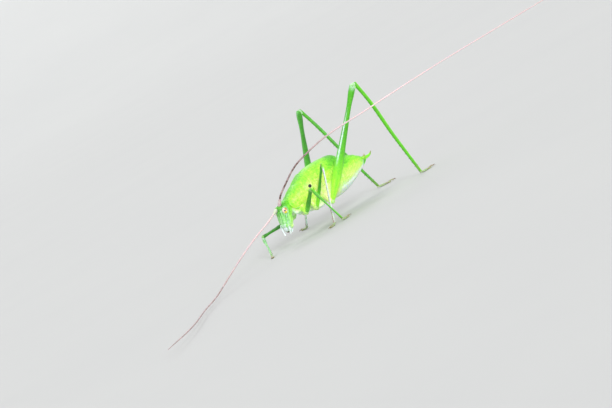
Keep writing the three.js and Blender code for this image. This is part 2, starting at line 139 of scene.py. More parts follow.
# How brown the thread is, as share of its length and strength.
FLAGELLUM_BROWN_AND_SHADE = {
    "left": ((0, 0.95), (0.08, 1.0), (0.15, 0.6), (0.26, 0.2), (0.6, 0.12), (1, 0.25)),
    # The right thread's brown along its far half is partly its own colour and partly painted shade for its
    # dimmer far end.
    "right": ((0, 0.1), (0.15, 0.15), (0.3, 0.5), (0.6, 0.6), (1, 0.6)),
}
PALPS = {
    "left": ((-8.4, -0.62, 3.0), (-8.66, -0.78, 2.5), (-8.74, -0.66, 2.15), (-8.72, -0.5, 1.85)),
    "right": (
        (-8.75, 0.76, 3.38), (-8.87, 0.74, 3.2), (-8.95, 0.65, 2.75), (-9.1, 0.42, 2.25), (-9.2, 0.2, 1.85),
    ),
}
OVIPOSITOR = (  # share of its length, x, z, half its depth and half its thickness
    (0, 7.2, 5.5, 0.42, 0.32), (0.3, 8.15, 5.42, 0.34, 0.25), (0.6, 8.95, 5.36, 0.22, 0.17),
    (0.85, 9.6, 5.48, 0.15, 0.12), (1, 10.02, 5.78, 0.03, 0.03),
)
CERCUS = ((7.45, 0.4, 5.5), (7.95, 0.72, 5.6), (8.25, 0.66, 5.9))  # the right one's

# The black spot low on the pronotum, on both sides.
SPOT = np.array([-3.36, 2.25, 6.24])

# Camera: turned with the insect, so that the floor is level.
CAMERA_AZIMUTH, CAMERA_ELEVATION, CAMERA_ROLL = -33.0, 5.0, 28.46
CAMERA_DISTANCE = 400.0
CAMERA_AIM = (-2.562, 2.073, 3.927)
CAMERA_LENS, SENSOR_WIDTH = 168.07, 36.0

SIDES = {"left": -1, "right": 1}
DOME_RINGS = 5
rng = np.random.default_rng(7)

# ---------- Shape helpers ----------


def unit(vectors):
    vectors = np.asarray(vectors, float)
    return vectors / np.linalg.norm(vectors, axis=-1, keepdims=True)


def rise(low, high, value):
    """0 up to low, 1 from high on, and smooth between them."""
    share = np.clip((value - low) / (high - low), 0, 1)
    return share * share * (3 - 2 * share)


def fall(low, high, value):
    return 1 - rise(low, high, value)


def window(start, full, fade, end, value):
    """1 from full to fade, and 0 before start and after end."""
    return rise(start, full, value) * fall(fade, end, value)


def bell(value, middle, width):
    """1 at the middle, falling smoothly to 0."""
    return np.exp(-(((value - middle) / width) ** 2))


def curve_at(value, xs, ys):
    """Smooth values between a table's rows."""
    xs, ys = np.asarray(xs, float), np.asarray(ys, float)
    slopes = np.gradient(ys, xs)
    row = np.clip(np.searchsorted(xs, value) - 1, 0, len(xs) - 2)
    step = xs[row + 1] - xs[row]
    share = np.clip((value - xs[row]) / step, 0, 1)
    square, cube = share**2, share**3
    start = (2 * cube - 3 * square + 1) * ys[row] + (cube - 2 * square + share) * step * slopes[row]
    end = (3 * square - 2 * cube) * ys[row + 1] + (cube - square) * step * slopes[row + 1]
    return start + end


def profile(count, xs, ys):
    """A curve's values at evenly spaced shares of a length."""
    return curve_at(np.linspace(0, 1, count), xs, ys)


def table_at(table, value):
    """A table's other columns at a value of its first one."""
    return [curve_at(value, table[:, 0], table[:, k]) for k in (1, 2, 3)]


def along(curve):
    """The length of a curve up to each of its points."""
    return np.concatenate([[0], np.cumsum(np.linalg.norm(np.diff(curve, axis=0), axis=1))])


def points_at(places, length, curve):
    """The points of a curve at given lengths along it."""
    return np.stack([np.interp(places, length, curve[:, k]) for k in range(3)], -1)


def spline(points, count):
    """Evenly spaced points along a smooth curve through a few points."""
    points = np.asarray(points, float)
    knots = along(points)
    fine = np.linspace(0, knots[-1], 40 * len(points))
    curve = np.stack([curve_at(fine, knots, points[:, k]) for k in range(3)], -1)
    length = along(curve)
    return points_at(np.linspace(0, length[-1], count), length, curve)


def distance(points, place):
    return np.linalg.norm(points - place, axis=1)


def one_side(points):
    """Both sides' points laid on the side of +Y."""
    return np.stack([points[:, 0], np.abs(points[:, 1]), points[:, 2]], -1)


def circle(sides):
    return np.arange(sides) * 2 * math.pi / sides


def bulge(value, power):
    return np.sign(value) * np.abs(value) ** (2 / power)


def rings(path, wide, deep, across, sides, power=2.0):
    """Rings round a path, reaching wide along across and deep square to it."""
    tangent = unit(np.gradient(path, axis=0))
    across = np.asarray(across, float)
    u = unit(across - (tangent @ across)[:, None] * tangent)
    v = np.cross(tangent, u)
    c, s = bulge(np.cos(circle(sides)), power), bulge(np.sin(circle(sides)), power)
    sideways = u[:, None] * (np.asarray(wide)[:, None] * c)[..., None]
    upwards = v[:, None] * (np.asarray(deep)[:, None] * s)[..., None]
    return path[:, None] + sideways + upwards


def rounded(path, radii, domes):
    """A path and its radii with a dome at each end, as high as its share of the end's radius."""
    turn = np.linspace(0, math.pi / 2 - 0.05, DOME_RINGS + 1)[1:]
    first = path[0] + unit(path[0] - path[1]) * (domes[0] * radii[0] * np.sin(turn))[:, None]
    last = path[-1] + unit(path[-1] - path[-2]) * (domes[1] * radii[-1] * np.sin(turn))[:, None]
    path = np.vstack([first[::-1], path, last])
    radii = np.concatenate([(radii[0] * np.cos(turn))[::-1], radii, radii[-1] * np.cos(turn)])
    return path, radii


class Shape:
    """Points, faces and one value for each point, gathered from several closed forms."""

    def __init__(self):
        self.points, self.faces, self.slots, self.values, self.count = [], [], [], {}, 0

    def add(self, points, faces, slot=0, **values):
        points = np.asarray(points, float).reshape(-1, 3)
        self.faces += [[i + self.count for i in face] for face in faces]
        self.slots += [slot] * len(faces)
        for name in dict.fromkeys([*self.values, *values]):
            column = self.values.setdefault(name, [np.zeros(self.count)])
            column.append(np.broadcast_to(np.asarray(values.get(name, 0.0), float), len(points)))
        self.points.append(points)
        self.count += len(points)

    def tube(self, loops, slot=0, **values):
        """Closed rings, an array of (ring, side, xyz), with fans over both ends."""
        count, sides, _ = loops.shape
        index = np.arange(count * sides).reshape(count, sides)
        turned = np.roll(index, -1, axis=1)
        faces = np.stack([index[:-1], turned[:-1], turned[1:], index[1:]], -1).reshape(-1, 4).tolist()
        low, high = count * sides, count * sides + 1
        faces += [[low, b, a] for a, b in zip(index[0].tolist(), turned[0].tolist())]
        faces += [[high, a, b] for a, b in zip(index[-1].tolist(), turned[-1].tolist())]
        points = np.vstack([loops.reshape(-1, 3), loops[0].mean(0), loops[-1].mean(0)])
        spread = {}
        for name, value in values.items():
            value = np.asarray(value, float)
            value = np.broadcast_to(value[:, None] if value.ndim == 1 else value, (count, sides))
            spread[name] = np.concatenate([value.ravel(), [value[0].mean(), value[-1].mean()]])
        self.add(points, faces, slot, **spread)

    def rod(
        self, path, radii, across, sides, domes=(1.0, 1.0), wide=1.0, deep=1.0, power=2.0, slot=0, **values,
    ):
        """A tube along a path with a dome at each end, flattened where it would sink into the floor."""
        line, radii = rounded(path, np.broadcast_to(radii, len(path)), domes)
        loops = rings(line, radii * wide, radii * deep, across, sides, power)
        loops[..., 2] = np.maximum(loops[..., 2], 0)
        self.tube(loops, slot, **values)

    def egg(self, centre, half):
        polar = np.linspace(0.12, math.pi - 0.12, 14)[:, None]
        across, upright = np.sin(polar), np.cos(polar)
        angle = circle(28)
        loops = np.stack([across * np.cos(angle), across * np.sin(angle), upright + 0 * angle], -1)
        self.tube(loops * half + centre)

    def mesh(self, name):
        mesh = bpy.data.meshes.new(name)
        mesh.from_pydata(np.vstack(self.points).tolist(), [], self.faces)
        mesh.polygons.foreach_set("material_index", self.slots)
        for value_name, columns in self.values.items():
            set_value(mesh, value_name, np.concatenate(columns))
        bm = bmesh.new()
        bm.from_mesh(mesh)
        bmesh.ops.recalc_face_normals(bm, faces=bm.faces)
        bm.to_mesh(mesh)
        bm.free()
        return mesh

    def piece(self, name, materials, slot, nodes):
        finish_piece(link(name, self.mesh(name)), materials, nodes)


def set_value(mesh, name, values):
    mesh.attributes.new(name, "FLOAT", "POINT").data.foreach_set("value", np.asarray(values, np.float32))


def triples(items, field):
    """A vector for each of a mesh's items, as an array."""
    flat = np.empty(len(items) * 3, np.float32)
    items.foreach_get(field, flat)
    return flat.reshape(-1, 3).astype(float)


def move_points(mesh, points):
    mesh.vertices.foreach_set("co", points.astype(np.float32).ravel())


def link(name, data):
    obj = bpy.data.objects.new(name, data)
    bpy.context.scene.collection.objects.link(obj)
    return obj


def apply_modifiers(obj):
    """The object's mesh with its modifiers made real."""
    evaluated = obj.evaluated_get(bpy.context.evaluated_depsgraph_get())
    mesh = bpy.data.meshes.new_from_object(evaluated)
    obj.modifiers.clear()
    obj.data = mesh
    return mesh


def smooth(mesh):
    mesh.polygons.foreach_set("use_smooth", [True] * len(mesh.polygons))


LOW, HIGH = (Vector(corner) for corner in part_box("eye_right"))
ORIGIN = (LOW + HIGH) / 2 - Vector(EYE_CENTRE) * MM
TO_FRAME = Matrix.Translation(ORIGIN) @ Matrix.Scale(MM, 4)


def finish_piece(obj, materials, nodes=()):
    """Moves a piece into the model's frame and hands it over to the root body."""
    obj.data.transform(TO_FRAME)
    smooth(obj.data)
    for material in materials:
        obj.data.materials.append(material)
    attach(obj, "root")
    if nodes:
        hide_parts(*nodes)


# ---------- Materials ----------


def linear(red, green, blue):
    """A colour written from 0 to 255 as a shader takes it."""
    def channel(value):
        value /= 255
        return value / 12.92 if value <= 0.04045 else ((value + 0.055) / 1.055) ** 2.4
    return (channel(red), channel(green), channel(blue), 1.0)


class Nodes:
    """A material with a Principled shader, and short ways to make and join its nodes."""

    def __init__(self, name, **shader):
        self.material = bpy.data.materials.new(name)
        self.material.use_nodes = True
        self.tree = self.material.node_tree
        self.shader = self.tree.nodes["Principled BSDF"]
        for socket, value in shader.items():
            self.shader.inputs[socket.replace("_", " ")].default_value = value

    def make(self, kind, inputs, **settings):
        node = self.tree.nodes.new(kind)
        for name, value in settings.items():
            setattr(node, name, value)
        for name, value in inputs.items():
            self.set(node.inputs[name], value)
        return node

    def set(self, socket, value):
        if isinstance(value, bpy.types.NodeSocket):
            self.tree.links.new(value, socket)
        else:
            socket.default_value = value

    def paint(self, colour):
        self.set(self.shader.inputs["Base Color"], colour)

    def place(self):
        return self.make("ShaderNodeTexCoord", {}).outputs["Object"]

    def value(self, name):
        return self.make("ShaderNodeAttribute", {}, attribute_name=name).outputs["Fac"]

    def math(self, operation, a, b=0.0, clamp=False):
        return self.make("ShaderNodeMath", {0: a, 1: b}, operation=operation, use_clamp=clamp).outputs[0]

    def texture(self, kind, size_mm, **inputs):
        return self.make(kind, {"Vector": self.place(), "Scale": 1 / (size_mm * MM), **inputs}).outputs

    def noise(self, size_mm, detail=3.0, roughness=0.55):
        """Noise with features about size_mm across."""
        return self.texture("ShaderNodeTexNoise", size_mm, Detail=detail, Roughness=roughness)["Fac"]

    def cells(self, size_mm):
        return self.texture("ShaderNodeTexVoronoi", size_mm)["Distance"]

    def ramp(self, factor, stops):
        node = self.make("ShaderNodeValToRGB", {"Fac": factor})
        elements = node.color_ramp.elements
        while len(elements) < len(stops):
            elements.new(0.5)
        for element, (position, colour) in zip(elements, stops):
            element.position = position
            element.color = colour
        return node.outputs["Color"]

    def mix(self, factor, a, b):
        return self.make("ShaderNodeMix", {0: factor, 6: a, 7: b}, data_type="RGBA").outputs[2]

    def range(self, value, low, high, to_low=0.0, to_high=1.0):
        inputs = {"Value": value, "From Min": low, "From Max": high, "To Min": to_low, "To Max": to_high}
        return self.make("ShaderNodeMapRange", inputs).outputs["Result"]

    def bump(self, height, depth_mm, strength):
        """Adds to the bumps that are there already."""
        inputs = {"Height": height, "Distance": depth_mm * MM, "Strength": strength}
        node = self.make("ShaderNodeBump", inputs)
        normal = self.shader.inputs["Normal"]
        if normal.is_linked:
            self.set(node.inputs["Normal"], normal.links[0].from_socket)
        self.set(normal, node.outputs["Normal"])


DEEP_GREEN = linear(26, 106, 10)
LEAF_GREEN = linear(62, 158, 20)
GREEN = linear(102, 204, 34)
LIME = linear(150, 238, 50)
YELLOW_GREEN = linear(204, 250, 88)
PALE_YELLOW = linear(240, 255, 170)
GREENS = (
    (0.0, DEEP_GREEN), (0.2, LEAF_GREEN), (0.4, GREEN), (0.6, LIME), (0.8, YELLOW_GREEN), (1.0, PALE_YELLOW),
)
# A whitish frost colour, which on the legs also serves as painted highlights.
FROST_AND_SHEEN = linear(230, 247, 250)
PINKISH_BROWN = linear(150, 100, 88)


def distance_mm(nodes, point, stretch):
    """Distance in millimetres from a point of the insect's frame, the same on both sides."""
    parts = nodes.make("ShaderNodeSeparateXYZ", {"Vector": nodes.place()}).outputs
    here = ORIGIN + Vector(point) * MM
    sideways = nodes.math("ABSOLUTE", nodes.math("SUBTRACT", parts[1], ORIGIN.y))
    offsets = (
        nodes.math("SUBTRACT", parts[0], here.x),
        nodes.math("SUBTRACT", sideways, point[1] * MM),
        nodes.math("SUBTRACT", parts[2], here.z),
    )
    scaled = [nodes.math("MULTIPLY", value, 1 / (MM * by)) for value, by in zip(offsets, stretch)]
    joined = nodes.make("ShaderNodeCombineXYZ", dict(enumerate(scaled))).outputs[0]
    return nodes.make("ShaderNodeVectorMath", {0: joined}, operation="LENGTH").outputs["Value"]


def green_colour(nodes, mottle):
    """The colour that a surface's tone, whitish and brown values give it, mottled; on the legs the whitish
    value is partly a painted highlight.
    """
    blotches = nodes.math("MULTIPLY", nodes.math("SUBTRACT", nodes.noise(1.1, 3), 0.5), 0.55 * mottle)
    grains = nodes.math("MULTIPLY", nodes.math("SUBTRACT", nodes.noise(0.27, 3, 0.7), 0.5), 2.4 * mottle)
    tone = nodes.math("ADD", nodes.math("ADD", nodes.value("tone"), blotches), grains, clamp=True)
    colour = nodes.ramp(tone, GREENS)
    patches = nodes.range(nodes.noise(0.3, 4, 0.7), 0.3, 0.62, 0.25, 1.25)
    frost = nodes.math("MULTIPLY", nodes.value("frost"), patches, clamp=True)
    colour = nodes.mix(frost, colour, FROST_AND_SHEEN)
    stained = nodes.math("MULTIPLY", nodes.value("brown"), nodes.range(nodes.noise(0.2), 0.3, 0.6, 0.6, 1.1))
    return nodes.mix(nodes.math("MINIMUM", stained, 1.0), colour, PINKISH_BROWN)


def green_shell(name, roughness, mottle, spotted=False):
    """Slightly translucent green cuticle, finely pitted."""
    nodes = Nodes(
        name, Roughness=roughness, Subsurface_Weight=0.3, Subsurface_Scale=0.5 * MM,
        Subsurface_Radius=(0.6, 1.0, 0.3), Coat_Weight=0.1, Coat_Roughness=0.3,
    )
    colour = green_colour(nodes, mottle)
    if spotted:
        near = distance_mm(nodes, SPOT, (1.05, 1.0, 1.0))
        halo = nodes.math("MULTIPLY", nodes.range(near, 0.55, 0.28), 0.6)
        colour = nodes.mix(halo, colour, linear(226, 250, 150))
        colour = nodes.mix(nodes.range(near, 0.275, 0.23), colour, linear(3, 4, 3))
    nodes.paint(colour)
    nodes.bump(nodes.cells(0.09), 0.012, 0.6)
    nodes.bump(nodes.noise(0.26, 4, 0.65), 0.045, 0.5)
    return nodes.material


def pale_shell():
    """The whitish lips and mouth feelers."""
    nodes = Nodes(
        "pale_shell", Roughness=0.35, Subsurface_Weight=0.35, Subsurface_Scale=0.4 * MM,
        Subsurface_Radius=(1.0, 1.0, 0.8), Coat_Weight=0.2, Coat_Roughness=0.2,
    )
    tone = nodes.math("ADD", nodes.value("tone"), nodes.math("MULTIPLY", nodes.noise(0.25), 0.3))
    stops = ((0.1, linear(120, 200, 84)), (0.5, linear(190, 234, 190)), (0.95, linear(232, 248, 248)))
    nodes.paint(nodes.ramp(tone, stops))
    nodes.bump(nodes.noise(0.12, 3), 0.012, 0.4)
    return nodes.material


def feeler_shell():
    """Finely ringed feelers, brown or pinkish white by the value brown, green-white at the root."""
    nodes = Nodes("feeler_shell", Roughness=0.4, Subsurface_Weight=0.15, Subsurface_Scale=0.1 * MM)
    colour = nodes.mix(nodes.noise(0.5), linear(246, 226, 226), linear(222, 192, 196))
    colour = nodes.mix(nodes.value("root"), colour, linear(206, 222, 190))
    patches = nodes.range(nodes.noise(0.8, 4, 0.7), 0.35, 0.6, 0.55, 1.2)
    brown = nodes.math("MULTIPLY", nodes.value("brown"), patches, clamp=True)
    colour = nodes.mix(brown, colour, linear(84, 50, 47))
    ring = nodes.math("MULTIPLY", nodes.value("ring"), 0.55)
    nodes.paint(nodes.mix(ring, colour, nodes.mix(brown, linear(150, 104, 98), linear(206, 182, 180))))
    nodes.bump(nodes.noise(0.06), 0.005, 0.4)
    return nodes.material


def eye_shell():
    """A glossy compound eye: cream, with a wine-dark middle, a red rear rim and a yellow lower rim."""
    nodes = Nodes("eye_shell", Roughness=0.2, Coat_Weight=0.5, Coat_Roughness=0.08)
    colour = nodes.mix(nodes.noise(0.12), linear(244, 234, 214), linear(238, 218, 196))
    for name, tint in (
        ("yellow", (244, 222, 30)), ("red", (236, 112, 50)), ("blush", (200, 120, 130)),
        ("pupil", (70, 20, 56)),
    ):
        colour = nodes.mix(nodes.value(name), colour, linear(*tint))
    facets = nodes.cells(0.03)
    nodes.paint(nodes.mix(nodes.range(facets, 0.35, 0.75, 0.0, 0.22), colour, linear(150, 90, 70)))
    nodes.bump(nodes.math("SUBTRACT", 1.0, facets), 0.006, 0.6)
    return nodes.material


def horn():
    """Hard brown claws, spines and jaw tips."""
    nodes = Nodes("horn", Roughness=0.35, Subsurface_Weight=0.1, Subsurface_Scale=0.1 * MM)
    brown = linear(120, 78, 40)
    dark = tuple(0.45 * c for c in brown[:3]) + (1.0,)
    nodes.paint(nodes.mix(nodes.noise(0.1), brown, dark))
    nodes.bump(nodes.noise(0.04), 0.004, 0.4)
    return nodes.material


def bristle_shell():
    """Fine hairs in nearly the colour of the skin that they grow on."""
    nodes = Nodes("bristle_shell", Roughness=0.5)
    nodes.paint(nodes.mix(0.25, green_colour(nodes, 0.1), linear(236, 240, 200)))
    return nodes.material


def floor_finish():
    """Matt pale studio floor."""
    nodes = Nodes("floor_finish", Roughness=0.9)
    nodes.paint(nodes.mix(nodes.noise(40), linear(194, 195, 194), linear(190, 191, 191)))
    return nodes.material


BODY_GREEN = green_shell("body_green", 0.48, 0.34)
PLATE_GREEN = green_shell("plate_green", 0.46, 0.34, spotted=True)
LEG_GREEN = green_shell("leg_green", 0.3, 0.14)
PALE_SHELL = pale_shell()
FEELER = feeler_shell()
EYE = eye_shell()
HORN = horn()
BRISTLE = bristle_shell()

# ---------- Bristles ----------

BRISTLE_FACES = ((0, 1, 4, 3), (1, 2, 5, 4), (2, 0, 3, 5), (3, 4, 6), (4, 5, 6), (5, 3, 6), (2, 1, 0))
BRISTLE_POINTS = 7
# Where a bristle's points lie on its patch of the map.
BRISTLE_MAP = np.array([(0, 0), (1, 0), (0.5, 1), (0, 0.5), (1, 0.5), (0.5, 0.8), (0.5, 0.4)]) * 0.003


def bristles(roots, directions, lengths, thickness):
    """Fine cones, each a three-sided spike of seven points."""
    roots, directions = np.asarray(roots), unit(directions)
    lengths = np.broadcast_to(lengths, len(roots))[:, None]
    side = unit(np.cross(directions, unit(rng.normal(size=directions.shape))))
    other = np.cross(directions, side)
    points = []
    for step, share in ((0, 1.0), (0.5, 0.62)):
        centre = roots + directions * step * lengths
        for angle in circle(3):
            points.append(centre + thickness * share * (side * math.cos(angle) + other * math.sin(angle)))
    points = np.stack([*points, roots + directions * lengths], 1).reshape(-1, 3)
    np.maximum(points[:, 2], HAIR_FLOOR, out=points[:, 2])
    starts = range(0, len(points), BRISTLE_POINTS)
    return points, [[start + k for k in face] for start in starts for face in BRISTLE_FACES]


class Coat:
    """Bristles gathered from the limbs into one piece."""

    def __init__(self):
        self.shape, self.places = Shape(), []

    def grow(self, path, radii, across, count, length, thickness=0.006, flat=1.0, **markings):
        """Bristles scattered round a limb, leaning towards its far end, with the markings of its skin."""
        tangent = unit(np.gradient(path, axis=0))
        u = unit(across - (tangent @ np.asarray(across, float))[:, None] * tangent)
        v = np.cross(tangent, u)
        share = rng.uniform(0.02, 0.98, count) * (len(path) - 1)
        row = share.astype(int)
        angle = rng.uniform(0, 2 * math.pi, count)
        c, s = np.cos(angle)[:, None], np.sin(angle)[:, None]
        reach = u[row] * c / flat + v[row] * s * flat
        between = (share - row)[:, None]
        centre = path[row] * (1 - between) + path[np.minimum(row + 1, len(path) - 1)] * between
        roots = centre + reach * (radii[row] * 0.93)[:, None]
        lengths = length * rng.uniform(0.6, 1.15, count)
        out = u[row] * c + v[row] * s
        points, faces = bristles(roots, out + 0.55 * tangent[row], lengths, thickness)
        spread = {name: np.broadcast_to(value, len(path))[row] for name, value in markings.items()}
        spread = {name: np.repeat(values, BRISTLE_POINTS) for name, values in spread.items()}
        self.shape.add(points, faces, **spread)
        # Each limb has its own column of the map.
        column = len(self.places) * 0.03 % 0.95
        self.places.append(np.stack([column + 0.025 * angle / (2 * math.pi), share / len(path)], -1))

    def piece(self, name):
        """One object, with each bristle as one small patch of its map."""
        mesh = self.shape.mesh(name)
        layer = mesh.uv_layers.new(name="OFBake")
        corners = np.empty(len(mesh.loops), np.int32)
        mesh.loops.foreach_get("vertex_index", corners)
        uv = np.vstack(self.places)[corners // BRISTLE_POINTS] * 0.99 + BRISTLE_MAP[corners % BRISTLE_POINTS]
        layer.data.foreach_set("uv", uv.astype(np.float32).ravel())
        finish_piece(link(name, mesh), [BRISTLE])


COAT = Coat()

# ---------- Body ----------


def on_trunk(x, angle, lift):
    """Points round the trunk: the angle runs from the back over the left side to the belly."""
    back, belly, half = table_at(TRUNK, x)
    up, out = bulge(np.cos(angle), TRUNK_POWER), bulge(np.sin(angle), TRUNK_POWER)
    belly_narrowing = 1 - 0.14 * np.clip(-np.cos(angle), 0, 1) ** 2
    y = -(half * belly_narrowing + lift) * out
    z = (back + belly) / 2 + ((back - belly) / 2 + lift) * up
    return np.stack([x + 0 * y, y, z], -1)


def trunk_angle(points):
    """The angle from the back at which points lie round the trunk, from 0 to pi."""
    back, belly, half = table_at(TRUNK, points[:, 0])
    up = (points[:, 2] - (back + belly) / 2) / ((back - belly) / 2)
    return np.arctan2(np.abs(points[:, 1]) / half, up)


def raised_back(x, angle):
    """How far the back stands up under the pronotum and the wing pads."""
    return 0.2 * window(-7.2, -6.6, 2.2, 3.3, x) * fall(0.8, 1.7, np.abs(angle))


def head_slice(z, angle):
    """Points round the head, whose back slopes in towards the jaws."""
    middle, long, wide = table_at(HEAD, z)
    rear = 1 - 0.24 * bell(z, 3.7, 0.75) * (np.cos(angle) > 0)
    x = middle + long * rear * bulge(np.cos(angle), HEAD_POWER)
    y = wide * bulge(np.sin(angle), HEAD_POWER)
    return np.stack([x, y, z + 0 * y], -1)


def rough_body():
    """Head, trunk and hips as overlapping forms, before they are fused."""
    shape = Shape()
    around = np.linspace(-math.pi, math.pi, 72, endpoint=False)[None]
    x = np.linspace(TRUNK[0, 0], TRUNK[-1, 0], 120)[:, None]
    shape.tube(on_trunk(x, around, raised_back(x, around)))
    shape.tube(head_slice(np.linspace(HEAD[0, 0], HEAD[-1, 0], 50)[:, None], around))
    shape.egg((-8.08, 0, 5.84), (0.34, 0.13, 0.2))
    for side in (-1, 1):
        shape.egg((-8.3, side * 0.4, 5.58), (0.34, 0.3, 0.3))
        shape.egg((-8.02, side * 0.5, 2.78), (0.36, 0.34, 0.42))
        # Cheek lobe at the head's rear, and the lobes of the breast between the hips.
        shape.egg((-7.8, side * 0.66, 3.55), (0.38, 0.42, 0.6))
        shape.egg((-6.0, side * 0.85, 4.0), (0.85, 0.42, 0.36))
        shape.egg((-4.65, side * 0.95, 3.5), (0.56, 0.45, 0.42))
        shape.egg((-2.6, side * 1.1, 3.08), (0.8, 0.56, 0.36))
    thinning = profile(24, (0, 0.4, 0.7, 0.9, 1), (1.35, 1.12, 0.88, 0.72, 0.5))
    for name, (hip, _, _) in LEGS.items():
        radius, length = COXAE[name.split("_")[0]]
        inward = -np.sign(hip[1])
        offsets = np.array([(0.3, 0.9, 1.6), (0.2, 0.5, 0.85), (0.04, 0.16, 0.2), (0, 0.04, -0.14)])
        path = spline(hip + offsets * (1, inward, 1), 24)
        shape.rod(path, radius * thinning, (1, 0, 0), 24, (1.0, 0.75), length, 0.75, 2.3)
    return shape.mesh("body_skin")


def groove(off_middle, width, depth):
    return -depth * bell(off_middle, 0, width)


def abdomen_rings(x, angle):
    """How far along its own ring of the abdomen a point lies, from 0 to 1."""
    slant = x + 0.3 * np.sin(np.clip(angle, 0, 2.4)) ** 2
    return (slant - TERGITE_START) / (TERGITE_END - TERGITE_START) * TERGITES % 1


def face_angle(points):
    """The angle round the head, from 0 down the middle of the face to pi at its back."""
    middle, long, wide = table_at(HEAD, points[:, 2])
    return np.arctan2(np.abs(points[:, 1]) / wide, (middle - points[:, 0]) / long)


def face_lines(points):
    """Wavering lines down the face and the cheeks, from -1 to 1."""
    around, z = face_angle(points), points[:, 2]
    wander = 0.9 * np.sin(2.3 * z + 3 * around)
    lines = 0.5 * np.sin(14 * around + wander) + 0.35 * np.sin(25 * around - 1.7 * wander + 1)
    return lines + 0.25 * np.sin(41 * around + 2 * wander + 2) * np.sin(7 * z + 9 * around)


def clypeus(points):
    """1 on the raised plate over the lip, 0 elsewhere."""
    around, z = face_angle(points), points[:, 2]
    high = 3.42 - 0.12 * around**2
    return window(2.9, 2.97, high - 0.05, high, z) * fall(0.58, 0.66, around)


def eye_reach(points):
    """Distance from the eye's middle, where 1 is the eye's own surface."""
    return distance(one_side(points) / EYE_HALF, EYE_CENTRE / EYE_HALF)


def sculpt_body(points):
    """How far each point of the fused skin moves along its normal."""
    x, y, z = points.T
    angle = trunk_angle(points)

    # Each ring of the abdomen overlaps the next one, and ends in a fold low on the side.
    fold = (0.07 * abdomen_rings(x, angle) ** 1.6 - 0.02) * (1 - 0.7 * rise(1.9, 2.3, angle))
    fold += groove(angle - 2.2, 0.05, 0.04) + 0.03 * bell(angle, 2.36, 0.12)
    lift = window(0.2, 0.6, 7.3, 7.7, x) * fold

    # Plates of the thorax's side, parted by slanting furrows over the legs.
    plates = sum(groove(x - start - 0.28 * (z - 4.6), 0.08, 0.08) for start in (-5.1, -3.3, -2.2, -0.8, 0.3))
    for start in (-4.2, -2.75, -1.5):
        plates += 0.07 * bell(x - 0.28 * (z - 4.3), start, 0.42) * bell(z, 4.2, 0.9)
    lift += window(0.9, 1.3, 2.4, 2.7, angle) * rise(-6.9, -6.5, x) * plates

    # Face: lines, a ridge on each side, furrows from the eye to the jaw and over it, the plate over the
    # lip, the cheek and the sockets of the feelers.
    around, upper = face_angle(points), rise(3.5, 3.8, z)
    face = 0.016 * face_lines(points) * window(3.0, 3.4, 4.9, 5.4, z)
    face += 0.045 * bell(around, 0.46 - 0.05 * (z - 4.2), 0.09) * upper * fall(5.2, 5.5, z)
    face += 0.008 * np.sin(30 * z) * (around < 0.4) * upper * fall(4.8, 5.1, z)
    face += groove(around - 0.96 + 0.1 * (z - 4.0), 0.06, 0.1) * window(3.3, 3.5, 4.4, 4.6, z)
    face += groove(z - 3.38 + 0.1 * around, 0.045, 0.08) * window(0.66, 0.76, 1.6, 1.9, around)
    face += groove(z - 3.46 + 0.12 * around**2, 0.04, 0.06) * fall(0.7, 0.8, around)
    face -= 0.07 * bell(around, 0.64, 0.06) * bell(z, 3.43, 0.07)
    face += 0.05 * clypeus(points) - 0.1 * fall(2.6, 3.1, z) * fall(0.5, 0.9, around)
    face += 0.07 * bell(around, 1.08, 0.3) * window(2.5, 2.8, 3.2, 3.4, z)
    face += 0.05 * bell(around, 1.5, 0.35) * bell(z, 3.85, 0.45)
    face += groove(around - 2.0 + 0.15 * (z - 4.2), 0.07, 0.09) * fall(5.0, 5.3, z)
    socket = distance(one_side(points), (-8.45, 0.4, 5.68))
    face += 0.07 * bell(socket, 0.34, 0.06) - 0.04 * bell(socket, 0.48, 0.07)
    lift += fall(-7.0, -6.7, x) * face
    ocellus = distance(points, (-8.7, 0, 5.02))
    lift += 0.05 * bell(ocellus, 0, 0.1) - 0.02 * bell(ocellus, 0.2, 0.06)

    # A ridge down the outer face of each hip.
    for hip_x, _, hip_z in HIPS:
        on_hip = window(-0.35, 0, 0.5, 0.8, z - hip_z) * rise(1.1, 1.4, np.abs(y))
        lift += on_hip * (0.05 * bell(x, hip_x - 0.1, 0.12) + groove(x - hip_x - 0.14, 0.07, 0.06))

    # A rim round each eye.
    reach = eye_reach(points)
    return lift + 0.06 * bell(reach, 1.22, 0.14) - 0.03 * bell(reach, 1.5, 0.1)


